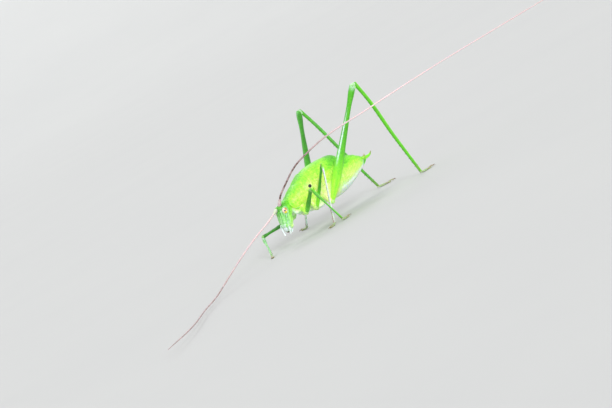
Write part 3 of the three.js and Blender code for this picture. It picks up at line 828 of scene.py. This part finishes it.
def body_markings(points):
    """Tone and frost by place: green along the back, yellow on the sides, whitish along the belly."""
    x, _, z = points.T
    angle = trunk_angle(points)
    tone = curve_at(angle, (0, 0.5, 1.0, 1.5, 2.0, 2.5, math.pi), (0.36, 0.4, 0.54, 0.7, 0.82, 0.88, 0.9))
    tone += 0.2 * bell(x, -0.9, 1.6) * bell(z, 4.6, 1.5) + 0.06 * bell(x, 4.4, 1.6) * bell(z, 5.0, 0.9)
    # Painted shade on the top of the abdomen's front, behind the hump.
    tone -= 0.2 * bell(x, 3.7, 0.8) * fall(0.9, 1.6, angle)
    # Painted shade low on the breast round the fore hips.
    tone -= 0.16 * bell(x, -5.7, 1.0) * fall(4.2, 4.6, z)
    within = abdomen_rings(x, angle)
    tone += rise(0.2, 0.6, x) * (0.06 * bell(within, 0.93, 0.07) - 0.07 * bell(within, 0.08, 0.1))
    tail_end = rise(6.4, 7.8, x)
    tone += (0.5 - tone) * tail_end
    frost = (0.06 * rise(1.2, 1.6, angle) + 0.9 * rise(1.9, 2.4, angle)) * rise(0.6, 2.2, x)
    frost += 0.45 * rise(2.2, 2.7, angle) * window(-7, -6.4, 0.6, 2.2, x)
    frost += 0.25 * tail_end * rise(1.4, 2.0, angle)

    # The lobes of the breast have whitish rims, and so have the hips.
    mirrored = one_side(points)
    for lobe, reach, strength in (
        ((-4.85, 1.15, 3.5), 0.36, 0.95), ((-6.3, 1.0, 3.75), 0.4, 0.5), ((-2.5, 1.5, 2.85), 0.4, 0.6),
    ):
        frost += strength * bell(distance(mirrored, lobe), 0, reach)
    for hip_x, _, hip_z in HIPS:
        low = fall(-0.1, 0.7, z - hip_z)
        frost += 0.5 * low * bell(x, hip_x + 0.55, 0.2)
        tone -= 0.1 * low * bell(x, hip_x + 0.05, 0.25)

    # The face, with a pale spot in front of each eye.
    around = face_angle(points)
    lines = face_lines(points) * fall(4.6, 5.6, z)
    face = curve_at(z, (2.3, 3.2, 4.2, 5.2, 6.3), (0.58, 0.48, 0.38, 0.28, 0.28))
    face += 0.1 * lines + 0.16 * rise(1.1, 1.7, around)
    face -= 0.2 * bell(around, 0.96 - 0.1 * (z - 4.0), 0.1) * bell(z, 3.9, 0.5)
    pale = curve_at(z, (2.3, 2.9, 3.5, 4.3, 5.0, 6.3), (0.45, 0.42, 0.32, 0.2, 0.06, 0.0))
    pale += 0.2 * lines + 0.25 * clypeus(points) - 0.16 * rise(1.1, 1.8, around)
    pale_spot = distance(mirrored, (-8.62, 0.6, 5.2))
    pale += 0.3 * bell(eye_reach(points), 1.25, 0.2) + 0.8 * bell(pale_spot, 0, 0.16)
    in_head = fall(-7.1, -6.8, x)
    tone += (face - tone) * in_head
    frost += (pale - frost) * in_head + 0.6 * bell(x, -6.75, 0.3) * fall(4.4, 4.9, z)
    return {"tone": np.clip(tone, 0, 1), "frost": np.clip(frost, 0, 1)}


def body_skin():
    obj = link("body_skin", rough_body())
    remesh = obj.modifiers.new("fuse", "REMESH")
    remesh.mode = "VOXEL"
    remesh.voxel_size = 0.04
    soften = obj.modifiers.new("soften", "SMOOTH")
    soften.factor = 0.5
    soften.iterations = 20
    mesh = apply_modifiers(obj)
    points = triples(mesh.vertices, "co")
    move_points(mesh, points + triples(mesh.vertex_normals, "vector") * sculpt_body(points)[:, None])
    for name, values in body_markings(points).items():
        set_value(mesh, name, values)
    mesh.update()
    coxae = [f"coxa_{name}" for name in LEGS]
    finish_piece(obj, [BODY_GREEN], ["head", "thorax", "abdomen", *coxae])


def plate(node, x, angle, lift, tone, frost, thickness):
    """A thin curved plate over the trunk, from grids of place, angle and lift."""
    rows, columns = x.shape
    index = np.arange(rows * columns).reshape(rows, columns)
    faces = np.stack([index[:-1, :-1], index[1:, :-1], index[1:, 1:], index[:-1, 1:]], -1).reshape(-1, 4)
    name = f"{node}_plate"
    mesh = bpy.data.meshes.new(name)
    mesh.from_pydata(on_trunk(x, angle, lift).reshape(-1, 3).tolist(), [], faces.tolist())
    set_value(mesh, "tone", np.clip(tone, 0, 1).ravel())
    set_value(mesh, "frost", frost.ravel())
    mesh.update()
    middle = rows * columns // 2
    outward = mesh.vertices[middle].co - Vector((mesh.vertices[middle].co.x, 0, 5.5))
    if mesh.vertex_normals[middle].vector.dot(outward) < 0:
        mesh.flip_normals()
    obj = link(name, mesh)
    solidify = obj.modifiers.new("thickness", "SOLIDIFY")
    solidify.thickness = thickness
    solidify.offset = -1
    bevel = obj.modifiers.new("rim", "BEVEL")
    bevel.width = thickness * 0.4
    bevel.segments = 3
    bevel.angle_limit = math.radians(50)
    apply_modifiers(obj)
    finish_piece(obj, [PLATE_GREEN], [node])


def pronotum():
    """The saddle behind the head, with deep side lobes and a fine raised edge."""
    rows, columns = ((110, 150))
    across = np.linspace(-1, 1, columns)[None]
    edge = np.abs(across)
    front = curve_at(edge, (0, 0.35, 0.6, 0.8, 0.93, 1), (-7.3, -7.22, -7.02, -6.82, -6.55, -6.0))
    rear = curve_at(edge, (0, 0.35, 0.6, 0.8, 0.93, 1), (-2.72, -2.76, -2.9, -3.36, -4.0, -4.9))
    back = (0.5 - 0.5 * np.cos(np.linspace(0, math.pi, rows)))[:, None]
    x = front + (rear - front) * back
    to_rim = np.minimum(np.minimum(back, 1 - back) * (rear - front), (1 - edge) * 3.2)
    lift = curve_at(x, (-7.4, -6.5, -5.4, -4.3, -3.2, -2.7), (0.3, 0.44, 0.5, 0.48, 0.54, 0.52))
    lift += 0.025 * bell(to_rim, 0.0, 0.08) - 0.025 * bell(to_rim, 0.2, 0.08) - 0.26 * rise(0.4, 1.0, edge)
    # Two shallow cross furrows bend back over the saddle.
    for place, depth in ((0.3, 0.04), (0.62, 0.05)):
        lift -= depth * bell(back - 0.12 * edge, place, 0.05) * fall(0.5, 0.8, edge)
    tone = curve_at(edge, (0, 0.3, 0.6, 0.85, 1), (0.4, 0.56, 0.7, 0.75, 0.68))
    tone = tone + 0.03 * bell(to_rim, 0.05, 0.1) - 0.08 * fall(0.0, 0.22, back)
    tone -= 0.08 * bell(edge, 0, 0.12) * (1 - back)
    frost = 0.3 * rise(0.9, 1.0, edge) * (1 - back)
    plate("pronotum", x, across * SADDLE_ANGLE + 0 * x, lift, tone, frost, 0.1)


def wing_pads():
    rows, columns = ((110, 90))
    back = np.linspace(0, 1, rows)[:, None]
    down = np.linspace(0, 1, columns)[None]
    for side, sign in (("left", 1), ("right", -1)):
        # The hind pad lies on top and meets its twin along the back. Its end is rolled down.
        rear = curve_at(down, (0, 0.25, 0.5, 0.75, 0.9, 1), (3.72, 3.6, 3.1, 2.3, 1.6, 0.6))
        x = -2.98 + (rear + 2.98) * back
        veins = sum(bell(down - 0.06 * back, v, 0.012) for v in (0.16, 0.3, 0.44, 0.6, 0.76, 0.9))
        cross = 0.4 * bell((back * 9) % 1, 0.5, 0.05) * (down > 0.1)
        lift = curve_at(x, (-3, -1.4, 0.2, 1.8, 3.0, 3.4, 3.72), (0.4, 0.4, 0.36, 0.46, 0.6, 0.48, 0.22))
        lift += 0.016 * np.clip(veins + cross, 0, 1) * rise(0.05, 0.2, back)
        lift -= 0.12 * down + 0.16 * rise(0.85, 1.0, back) * down + 0.1 * rise(0.9, 1.0, down)
        # Painted shade: the hind pad's rear, at the back of the hump, is painted darker.
        dark = rise(0.6, 0.88, back) * (1 - 0.6 * rise(0.75, 1.0, down))
        tone = 0.46 + 0.24 * down - 0.28 * dark + 0.05 * np.clip(veins, 0, 1) + 0.14 * rise(0.965, 1.0, back)
        angle = sign * (0.015 + 1.22 * down + 0 * x)
        plate(f"wing_pad_hind_{side}", x, angle, lift, tone, 0 * x, 0.1)

        # The fore pad is a smaller lobe below it.
        rear = curve_at(down, (0, 0.3, 0.6, 0.85, 1), (1.35, 1.15, 0.55, -0.3, -1.5))
        x = -2.9 + (rear + 2.9) * back
        veins = sum(bell(down - 0.1 * back, v, 0.02) for v in (0.3, 0.5, 0.7))
        lift = 0.26 - 0.06 * down + 0.014 * veins - 0.06 * rise(0.88, 1.0, down) - 0.08 * rise(0.85, 1, back)
        tone = 0.66 + 0.26 * down - 0.06 * rise(0.7, 0.95, back) + 0.05 * veins
        angle = sign * (1.02 + 0.66 * down + 0 * x)
        plate(f"wing_pad_fore_{side}", x, angle, lift, tone, 0 * x, 0.08)


def eyes():
    bm = bmesh.new()
    bmesh.ops.create_icosphere(bm, subdivisions=6, radius=1)
    for side, sign in SIDES.items():
        name = f"eye_{side}_lens"
        mesh = bpy.data.meshes.new(name)
        bm.to_mesh(mesh)
        around = triples(mesh.vertices, "co")
        turned = np.arccos(np.clip(around @ unit((-0.46, 0.88 * sign, 0.09)), -1, 1))
        rear = around @ unit((0.42, 0.75 * sign, 0.51))
        low = around @ unit((-0.26, 0.71 * sign, -0.64))
        set_value(mesh, "pupil", fall(0.22, 0.36, turned))
        set_value(mesh, "blush", 0.6 * fall(0.3, 0.52, turned))
        set_value(mesh, "red", rise(0.78, 0.93, rear))
        set_value(mesh, "yellow", rise(0.74, 0.91, low))
        move_points(mesh, around * EYE_HALF + EYE_CENTRE * (1, sign, 1))
        finish_piece(link(name, mesh), [EYE], [f"eye_{side}"])
    bm.free()


# ---------- Mouth and tail ----------


def beads(shape, path, cuts, radius, tone, taper=1.0):
    """Joints along a path: each starts slim and swells to a rounded end."""
    steps = len(path) - 1
    for start, end in zip(cuts[:-1], cuts[1:]):
        part = path[round(start * steps):round(end * steps) + 1]
        swell = profile(len(part), (0, 0.2, 0.8, 1), (0.8, 0.86, 1.06, 1.0))
        shape.rod(part, radius * (1 + (taper - 1) * start) * swell, (0, 1, 0), 16, (0.4, 0.5), tone=tone)


def slab(shape, points, wide, deep, tone, across=(0, 1, 0), slot=0, curl=0.0, frost=0.0):
    """A flattened, rounded form along a few points, curled backwards at its sides and frosted below."""
    path, knots = spline(points, 30), np.linspace(0, 1, len(wide))
    line, half_width = rounded(path, profile(30, knots, wide), (0.3, 0.35))
    _, half_depth = rounded(path, profile(30, knots, deep), (0.3, 0.35))
    loops = rings(line, half_width, half_depth, across, 28, 2.4)
    loops[..., 0] += curl * loops[..., 1] ** 2
    below = np.clip(-np.sin(circle(28)), 0, 1) + np.zeros((len(line), 1))
    shape.tube(loops, slot, tone=tone, frost=frost * below)


def mouth():
    shape = Shape()
    # The lip hangs from the plate at the face's foot over the jaws.
    lip = ((-8.86, 0, 3.04), (-8.88, 0, 2.84), (-8.82, 0, 2.55), (-8.7, 0, 2.3))
    slab(shape, lip, (0.36, 0.42, 0.38, 0.2), (0.07, 0.1, 0.09, 0.05), 1.0, curl=0.4)
    for side in (-1, 1):
        jaw = ((-8.36, 0.62, 3.0), (-8.5, 0.56, 2.66), (-8.58, 0.36, 2.32), (-8.62, 0.14, 2.12))
        tip = ((-8.6, 0.25, 2.2), (-8.62, 0.13, 2.1), (-8.62, 0.03, 2.04))
        hood = ((-8.12, 0.46, 2.75), (-8.26, 0.42, 2.4), (-8.4, 0.26, 2.08))
        lower = ((-8.0, 0.2, 2.5), (-8.05, 0.38, 2.2), (-8.3, 0.34, 1.9))
        jaw, tip, hood, lower = (np.array(line) * (1, side, 1) for line in (jaw, tip, hood, lower))
        slab(shape, jaw, (0.3, 0.26, 0.18, 0.08), (0.2, 0.17, 0.12, 0.06), 0.35, (1, 0, 0))
        slab(shape, tip, (0.12, 0.09, 0.03), (0.09, 0.07, 0.03), 0.1, (1, 0, 0), slot=1)
        slab(shape, hood, (0.2, 0.17, 0.09), (0.13, 0.12, 0.07), 0.6, (1, 0, 0))
        beads(shape, spline(lower, 40), (0, 0.35, 0.65, 1), 0.08, tone=0.8)
    tongue = ((-7.8, 0, 2.75), (-7.98, 0, 2.4), (-8.16, 0, 2.08))
    slab(shape, tongue, (0.34, 0.36, 0.24), (0.1, 0.12, 0.08), 0.55)
    shape.piece("mouth_set", [PALE_SHELL, HORN], "pale_mouth", ["mouthparts"])
    for side, points in PALPS.items():
        palp = Shape()
        path = spline(points, 80)
        beads(palp, path, (0, 0.12, 0.26, 0.6, 1), 0.085, tone=0.9, taper=1.2)
        COAT.grow(path, np.full(80, 0.09), (0, 1, 0), 50, 0.09, tone=0.9, frost=0.8)
        palp.piece(f"palp_{side}_joints", [PALE_SHELL], "pale_mouth", [f"palp_{side}"])


def tail():
    share, *columns = np.array(OVIPOSITOR).T
    x, z, depth, width = (profile(60, share, column) for column in columns)
    path = np.stack([x, 0 * x, z], -1)
    loops = rings(path, width, depth, (0, 1, 0), 40, 2.6)
    # A seam along each face parts the upper blade from the lower, and the tip's edges are toothed.
    t, upright = np.linspace(0, 1, 60)[:, None], np.sin(circle(40))[None]
    edge = np.abs(upright) ** 8
    seam = 0.18 * bell(upright, 0, 0.16) * rise(0.12, 0.3, t)
    teeth = 0.06 * np.sin(t * 120) * edge * rise(0.6, 0.7, t)
    loops = path[:, None] + (loops - path[:, None]) * (1 - seam + teeth)[..., None]
    tip = rise(0.72, 1.0, t)
    shape = Shape()
    shape.tube(loops, tone=0.5 - 0.12 * tip + 0 * edge, brown=0.7 * tip + 0.35 * edge * rise(0.3, 0.6, t))
    # The shield under the blade's base, and a flap over it on each side.
    shield = ((6.9, 0, 4.66), (7.7, 0, 4.76), (8.45, 0, 5.04))
    slab(shape, shield, (0.56, 0.42, 0.16), (0.26, 0.2, 0.07), 0.36, frost=1.0)
    for side in (-1, 1):
        flap = ((7.5, side * 0.2, 5.7), (7.85, side * 0.22, 5.66), (8.1, side * 0.16, 5.52))
        slab(shape, flap, (0.22, 0.2, 0.1), (0.1, 0.1, 0.05), 0.56)
    shape.piece("ovipositor_blades", [LEG_GREEN], "leaf_green", ["ovipositor"])
    for side, sign in SIDES.items():
        radii = profile(40, (0, 0.3, 0.8, 1), (0.2, 0.19, 0.14, 0.05))
        line, radii = rounded(spline(np.array(CERCUS) * (1, sign, 1), 40), radii, (0.3, 1.0))
        brown = 0.1 + 0.8 * rise(0.3, 0.9, np.linspace(0, 1, len(line)))
        cercus = Shape()
        cercus.tube(rings(line, radii, radii, (1, 0, 0), 20), tone=0.6, brown=brown)
        COAT.grow(line, radii, (1, 0, 0), 70, 0.16, tone=0.6, brown=brown)
        cercus.piece(f"cercus_{side}_cone", [LEG_GREEN], "leaf_green", [f"cercus_{side}"])


# ---------- Feelers ----------


def antenna(side):
    shape = Shape()
    path = spline(ANTENNAE[side], 4000)
    length = along(path)
    across = (0, 1, 0)
    root, brown = (0.9, 0.05) if side == "right" else (0.15, 0.42)
    base = SCAPE_LENGTH + PEDICEL_LENGTH
    for start, end, widths in (
        (0.0, SCAPE_LENGTH, (0.23, 0.27, 0.26, 0.21)),
        (SCAPE_LENGTH - 0.02, base, (0.16, 0.19, 0.19, 0.155)),
    ):
        part = points_at(np.linspace(start, end, 24), length, path)
        radii = profile(24, (0, 0.35, 0.7, 1), widths)
        shape.rod(part, radii, across, 20, (0.4, 0.5), root=root, ring=0.2, brown=brown)

    # The flagellum is one tapering thread of short rings, each swollen at its far end.
    joints = int((length[-1] - base) / FLAGELLUM_STEP)
    one_ring = np.array([(0.0, 0.94, 0.8), (0.16, 0.96, 0.1), (0.8, 1.0, 0.0), (0.95, 1.02, 0.2)])
    steps, swells, marks = one_ring.T
    share = ((np.arange(joints)[:, None] + steps) / joints).ravel()
    line = points_at(base + share * (length[-1] - base), length, path)
    radii = curve_at(share, (0, 0.06, 0.4, 0.9, 1), (0.138, 0.13, 0.1, 0.07, 0.04)) * np.tile(swells, joints)
    brown = curve_at(share, *zip(*FLAGELLUM_BROWN_AND_SHADE[side]))
    shape.tube(rings(line, radii, radii, across, 10), ring=np.tile(marks, joints), brown=brown)
    line, radii, brown = line[::4], radii[::4], 0.3 + 0.7 * brown[::4]
    COAT.grow(line, radii, across, 500, 0.1, thickness=0.004, brown=brown, frost=0.8)
    nodes = [f"antenna_{side}_{part}" for part in ("base", "1", "2", "3")]
    shape.piece(f"antenna_{side}_thread", [FEELER], "feeler", nodes)


# ---------- Legs ----------


def with_domes(share):
    return np.concatenate([np.zeros(DOME_RINGS), share, np.ones(DOME_RINGS)])[:, None]


def averaged(markings):
    """A limb's markings averaged round each ring, without those of the domes, for its bristles."""
    inner = slice(DOME_RINGS, -DOME_RINGS)
    return {name: np.clip(values, 0, 1)[inner].mean(axis=1) for name, values in markings.items()}


def spine_row(shape, path, radii, direction, count, length):
    """Short dark spines along one edge of a shin."""
    rows = np.linspace(0.12, 0.94, count) * (len(path) - 1)
    row = rows.astype(int)
    tangent = unit(np.gradient(path, axis=0))[row]
    direction = unit(direction - (tangent @ direction)[:, None] * tangent)
    roots = path[row] + direction * (radii[row] * 0.85)[:, None]
    lengths = length * (0.8 + 0.4 * rows / len(path))
    shape.add(*bristles(roots, direction + 0.45 * tangent, lengths, 0.035), 1)


def foot(shape, base, heading, across, length):
    """Four joints on flat soles, the third one split in two lobes, and a pair of claws."""
    up = np.array([0, 0, 1.0])

    def joint(start, end, height, wide, deep, brown, sideways=0.0, spread=0.0):
        share = np.linspace(0, 1, 14)
        forward = heading * ((start + (end - start) * share) * length)[:, None]
        shift = across * (sideways + spread * share)[:, None]
        path = base + forward + shift + up * curve_at(share, (0, 0.5, 1), height)[:, None]
        radii = curve_at(share, (0, 0.4, 0.8, 1), wide)
        shape.rod(path, radii, across, 16, (0.6, 0.8), deep=deep, tone=0.46, frost=0.4, brown=brown)

    joint(-0.04, 0.34, (0.3, 0.2, 0.15), (0.15, 0.14, 0.18, 0.16), 0.95, 0.5)
    joint(0.34, 0.5, (0.17, 0.15, 0.13), (0.12, 0.16, 0.18, 0.15), 0.8, 0.65)
    for side in (-1, 1):
        joint(0.5, 0.68, (0.14, 0.11, 0.09), (0.1, 0.13, 0.14, 0.11), 0.75, 0.65, side * 0.05, side * 0.09)
    joint(0.54, 0.94, (0.17, 0.24, 0.17), (0.065, 0.07, 0.085, 0.08), 1.0, 0.8)
    tip = base + heading * (0.93 * length) + up * 0.17
    for side in (-1, 1):
        claw = [
            tip + heading * forward + across * (side * out) + up * height
            for forward, out, height in ((0, 0.04, 0), (0.13, 0.12, 0.03), (0.24, 0.17, -0.12))
        ]
        shape.rod(spline(claw, 14), np.linspace(0.045, 0.01, 14), heading + 0.3 * up, 10, slot=1)


def leg(name):
    """Femur, knee, shin, foot and their bristles, from the hip to the claws."""
    pair, side = name.split("_")
    size = LEG_SIZES[pair]
    outward = SIDES[side]
    hip, knee, foot_place = (np.array(point, float) for point in LEGS[name])
    ankle = np.array([*foot_place, ANKLE_HEIGHT])
    across = unit(np.cross(knee - hip, ankle - knee))
    heading = (ankle - knee) * (1, 1, 0)
    if np.linalg.norm(heading) < 2.5:
        heading = np.array([3.0 if pair == "hind" else -2.0, outward, 0])
    heading = unit(heading)
    reach = unit(ankle - knee)
    away = unit((knee - hip) - ((knee - hip) @ reach) * reach)
    # The far hind leg is painted a little darker: painted shade.
    darker = name == "hind_right"
    shape = Shape()

    # Femur, with a deeper than thick section and a fine ridge at each quarter.
    path = hip + (knee - hip) * np.linspace(0, 1, 70)[:, None]
    radii = profile(70, *zip(*size["femur"]))
    line, full = rounded(path, radii, (0.5, 0.45))
    t, around = with_domes(np.linspace(0, 1, 70)), circle(48)[None]
    loops = rings(line, full / FEMUR_DEPTH, full * FEMUR_DEPTH, across, 48, 2.15)
    ridge = 0.03 * np.cos(around * 4) * rise(0.05, 0.3, t)
    loops = line[:, None] + (loops - line[:, None]) * (1 + ridge)[..., None]
    facing = np.sign(across[1] * outward)
    out_face = np.cos(around) * facing
    hip_part, knee_part = fall(0.08, 0.55, t), rise(0.94, 1.0, t)
    start_tone, paler = size["femur_tone"]
    knee_sheen, knee_brown = size["knee"]
    tone = start_tone - 0.07 * darker + paler * hip_part + 0.1 * knee_part + 0.06 * out_face
    # A darker line runs along the middle of the outer face, on the half by the hip.
    tone -= 0.12 * bell(around, math.pi if facing < 0 else 0, 0.3) * hip_part
    # Pale painted highlight at the knee's end, stronger on its outer face.
    frost = 1.4 * knee_sheen * knee_part * (0.5 + 0.5 * out_face)
    if pair == "hind":
        # A painted highlight: a pale line along the upper edge of the outer face.
        painted_highlight_line = rise(0.93, 0.99, 0.72 * out_face + 0.69 * np.sin(around))
        frost += 0.75 * painted_highlight_line * window(0.28, 0.42, 0.62, 0.85, t)
    brown = knee_brown * knee_part + 0 * around
    markings = {"tone": np.clip(tone, 0, 1), "frost": np.clip(frost, 0, 1), "brown": brown}
    shape.tube(loops, **markings)
    COAT.grow(path, radii, across, 160, 0.1, flat=FEMUR_DEPTH, **averaged(markings))

    # A short yellow-green collar at the hip, the hinge of the knee and a lobe on each side of it.
    collar = hip + unit(knee - hip) * np.linspace(-0.12, 0.16, 10)[:, None]
    shape.rod(collar, 1.5 * radii[0], across, 24, (0.8, 0.5), tone=0.66, frost=0.25)
    knee_radius = size["femur"][-1][1]
    hinge = knee + away * np.linspace(-0.1, 0.8, 10)[:, None] * size["bow"] + reach * 0.1 * knee_radius
    # The knee's brown is its own colour; its pale value is a painted highlight.
    tint = {"frost": knee_sheen, "brown": knee_brown}
    shape.rod(hinge, 0.74 * knee_radius, across, 20, (1.0, 0.6), tone=0.46, **tint)
    for sign in (-1, 1):
        lobe = knee + (across * sign * 0.7 + reach * np.linspace(-0.1, 0.9, 8)[:, None]) * knee_radius
        shape.rod(lobe, 0.6 * knee_radius, across, 14, wide=0.45, tone=0.45, **tint)

    # Tibia, bowed away from the thigh below the knee.
    path = spline([knee + (ankle - knee) * s + away * (size["bow"] * share) for s, share in SHIN_BOW], 90)
    radii = profile(90, *zip(*size["tibia"]))
    line, full = rounded(path, radii, (0.9, 0.6))
    t, around = with_domes(np.linspace(0, 1, 90)), circle(20)[None]
    away_face = np.clip(np.cos(around - math.pi / 4), 0, 1)
    front_face = np.clip(outward * np.cos(around + math.pi / 4), 0, 1)
    shin_tone, shin_sheen = (0.22, 0.05) if name == "fore_left" else size["shin"]
    # Painted highlight: the shin's face away from the thigh is painted paler, and the mid shins and the far
    # fore shin whitish along their length.
    markings = {
        "tone": shin_tone - 0.09 * darker + 0.2 * away_face**2 + 0 * t,
        "frost": shin_sheen * rise(0.02, 0.12, t) + 0 * around,
        "brown": 0.3 * rise(0.85, 1.0, t) + 0.8 * (pair == "mid") * front_face**2 * rise(0.03, 0.12, t),
    }
    shape.tube(rings(line, full, full * 1.04, unit(across + away), 20, 2.7), **markings)
    if pair == "fore":
        # The ears: an oval membrane on each face just below the knee.
        for sign in (-1, 1):
            drum = path[17] + across * (sign * 0.15) + reach * np.linspace(-0.24, 0.24, 12)[:, None]
            shape.rod(drum, 0.08, across, 14, wide=0.6, tone=0.9, frost=0.3)
    rows = [(-away, 0.8, size["spines"], size["spine_length"])]
    if pair == "hind":
        rows.append((away, 0.9, 12, 0.16))
    for edge, spread, count, length in rows:
        for sign in (-1, 1):
            spine_row(shape, path, radii, unit(edge + sign * spread * across), count, length)
    COAT.grow(path, radii, across, 200, 0.11, **averaged(markings))

    sideways = np.array([-heading[1], heading[0], 0.0])
    foot(shape, ankle * (1, 1, 0), heading, sideways, size["tarsus"])
    toes = ankle * (1, 1, 0) + (0, 0, 0.2) + heading * np.linspace(0.05, 0.9, 30)[:, None] * size["tarsus"]
    COAT.grow(toes, np.full(30, 0.15), sideways, 70, 0.1, tone=0.46, frost=0.4, brown=0.65)
    nodes = [f"{part}_{name}" for part in ("femur", "tibia", "tarsus")]
    shape.piece(f"leg_{name}", [LEG_GREEN, HORN], "leaf_green", nodes)


# ---------- Studio ----------


def direction(azimuth, elevation):
    """From the middle to a place seen at these angles, in radians."""
    a, e = azimuth, elevation
    return Vector((math.sin(a) * math.cos(e), -math.cos(a) * math.cos(e), math.sin(e)))


def studio():
    """A round pale floor that sweeps up into a low wall, with soft light from above."""
    profile = ((0.6, 0), (1.0, 0), (1.18, 0.02), (1.32, 0.07), (1.42, 0.15), (1.47, 0.25))
    sides = 96
    points = [(0.0, 0.0, 0.0)]
    for radius, height in profile:
        points += [(radius * math.cos(a), radius * math.sin(a), height) for a in circle(sides)]
    faces = [(0, 1 + i, 1 + (i + 1) % sides) for i in range(sides)]
    for low in range(1, 1 + (len(profile) - 1) * sides, sides):
        high = low + sides
        faces += [(low + i, high + i, high + (i + 1) % sides, low + (i + 1) % sides) for i in range(sides)]
    mesh = bpy.data.meshes.new("studio_floor")
    mesh.from_pydata(points, [], faces)
    smooth(mesh)
    mesh.materials.append(floor_finish())
    floor = link("studio_floor", mesh)

    world = bpy.data.worlds.new("studio_world")
    world.use_nodes = True
    background = world.node_tree.nodes["Background"]
    background.inputs["Color"].default_value = (1.0, 1.0, 1.0, 1.0)
    background.inputs["Strength"].default_value = 0.78
    bpy.context.scene.world = world

    for name, azimuth, elevation, strength, spread, colour in (
        ("key_light", -16, 24, 1.9, 16, (0.98, 0.99, 1.0)),
        ("fill_light", -12, 3, 1.0, 40, (1, 1, 1)),
        ("top_light", -110, 64, 0.6, 30, (1, 1, 1)),
        ("rim_light", 150, 40, 0.5, 20, (1, 1, 1)),
    ):
        light = bpy.data.lights.new(name, "SUN")
        light.energy = strength
        light.angle = math.radians(spread)
        light.color = colour
        source = direction(math.radians(azimuth), math.radians(elevation))
        link(name, light).rotation_euler = source.to_track_quat("Z", "Y").to_euler()


def camera():
    a, e, roll = (math.radians(v) for v in (CAMERA_AZIMUTH, CAMERA_ELEVATION, CAMERA_ROLL))
    back = direction(a, e)
    level = Vector((math.cos(a), math.sin(a), 0))
    upright = back.cross(level)
    right = level * math.cos(roll) - upright * math.sin(roll)
    up = level * math.sin(roll) + upright * math.cos(roll)
    place = ORIGIN + (Vector(CAMERA_AIM) + back * CAMERA_DISTANCE) * MM
    data = bpy.data.cameras.new("camera")
    data.lens = CAMERA_LENS
    data.sensor_width = SENSOR_WIDTH
    data.clip_start = 0.01
    data.clip_end = 20
    obj = link("camera", data)
    obj.matrix_world = Matrix.Translation(place) @ Matrix((right, up, back)).transposed().to_4x4()
    bpy.context.scene.camera = obj


# ---------- The whole scene ----------

bpy.context.scene.view_settings.view_transform = "Standard"
camera()
studio()
body_skin()
pronotum()
wing_pads()
eyes()
mouth()
tail()
for antenna_side in ANTENNAE:
    antenna(antenna_side)
for leg_name in LEGS:
    leg(leg_name)
COAT.piece("bristles")
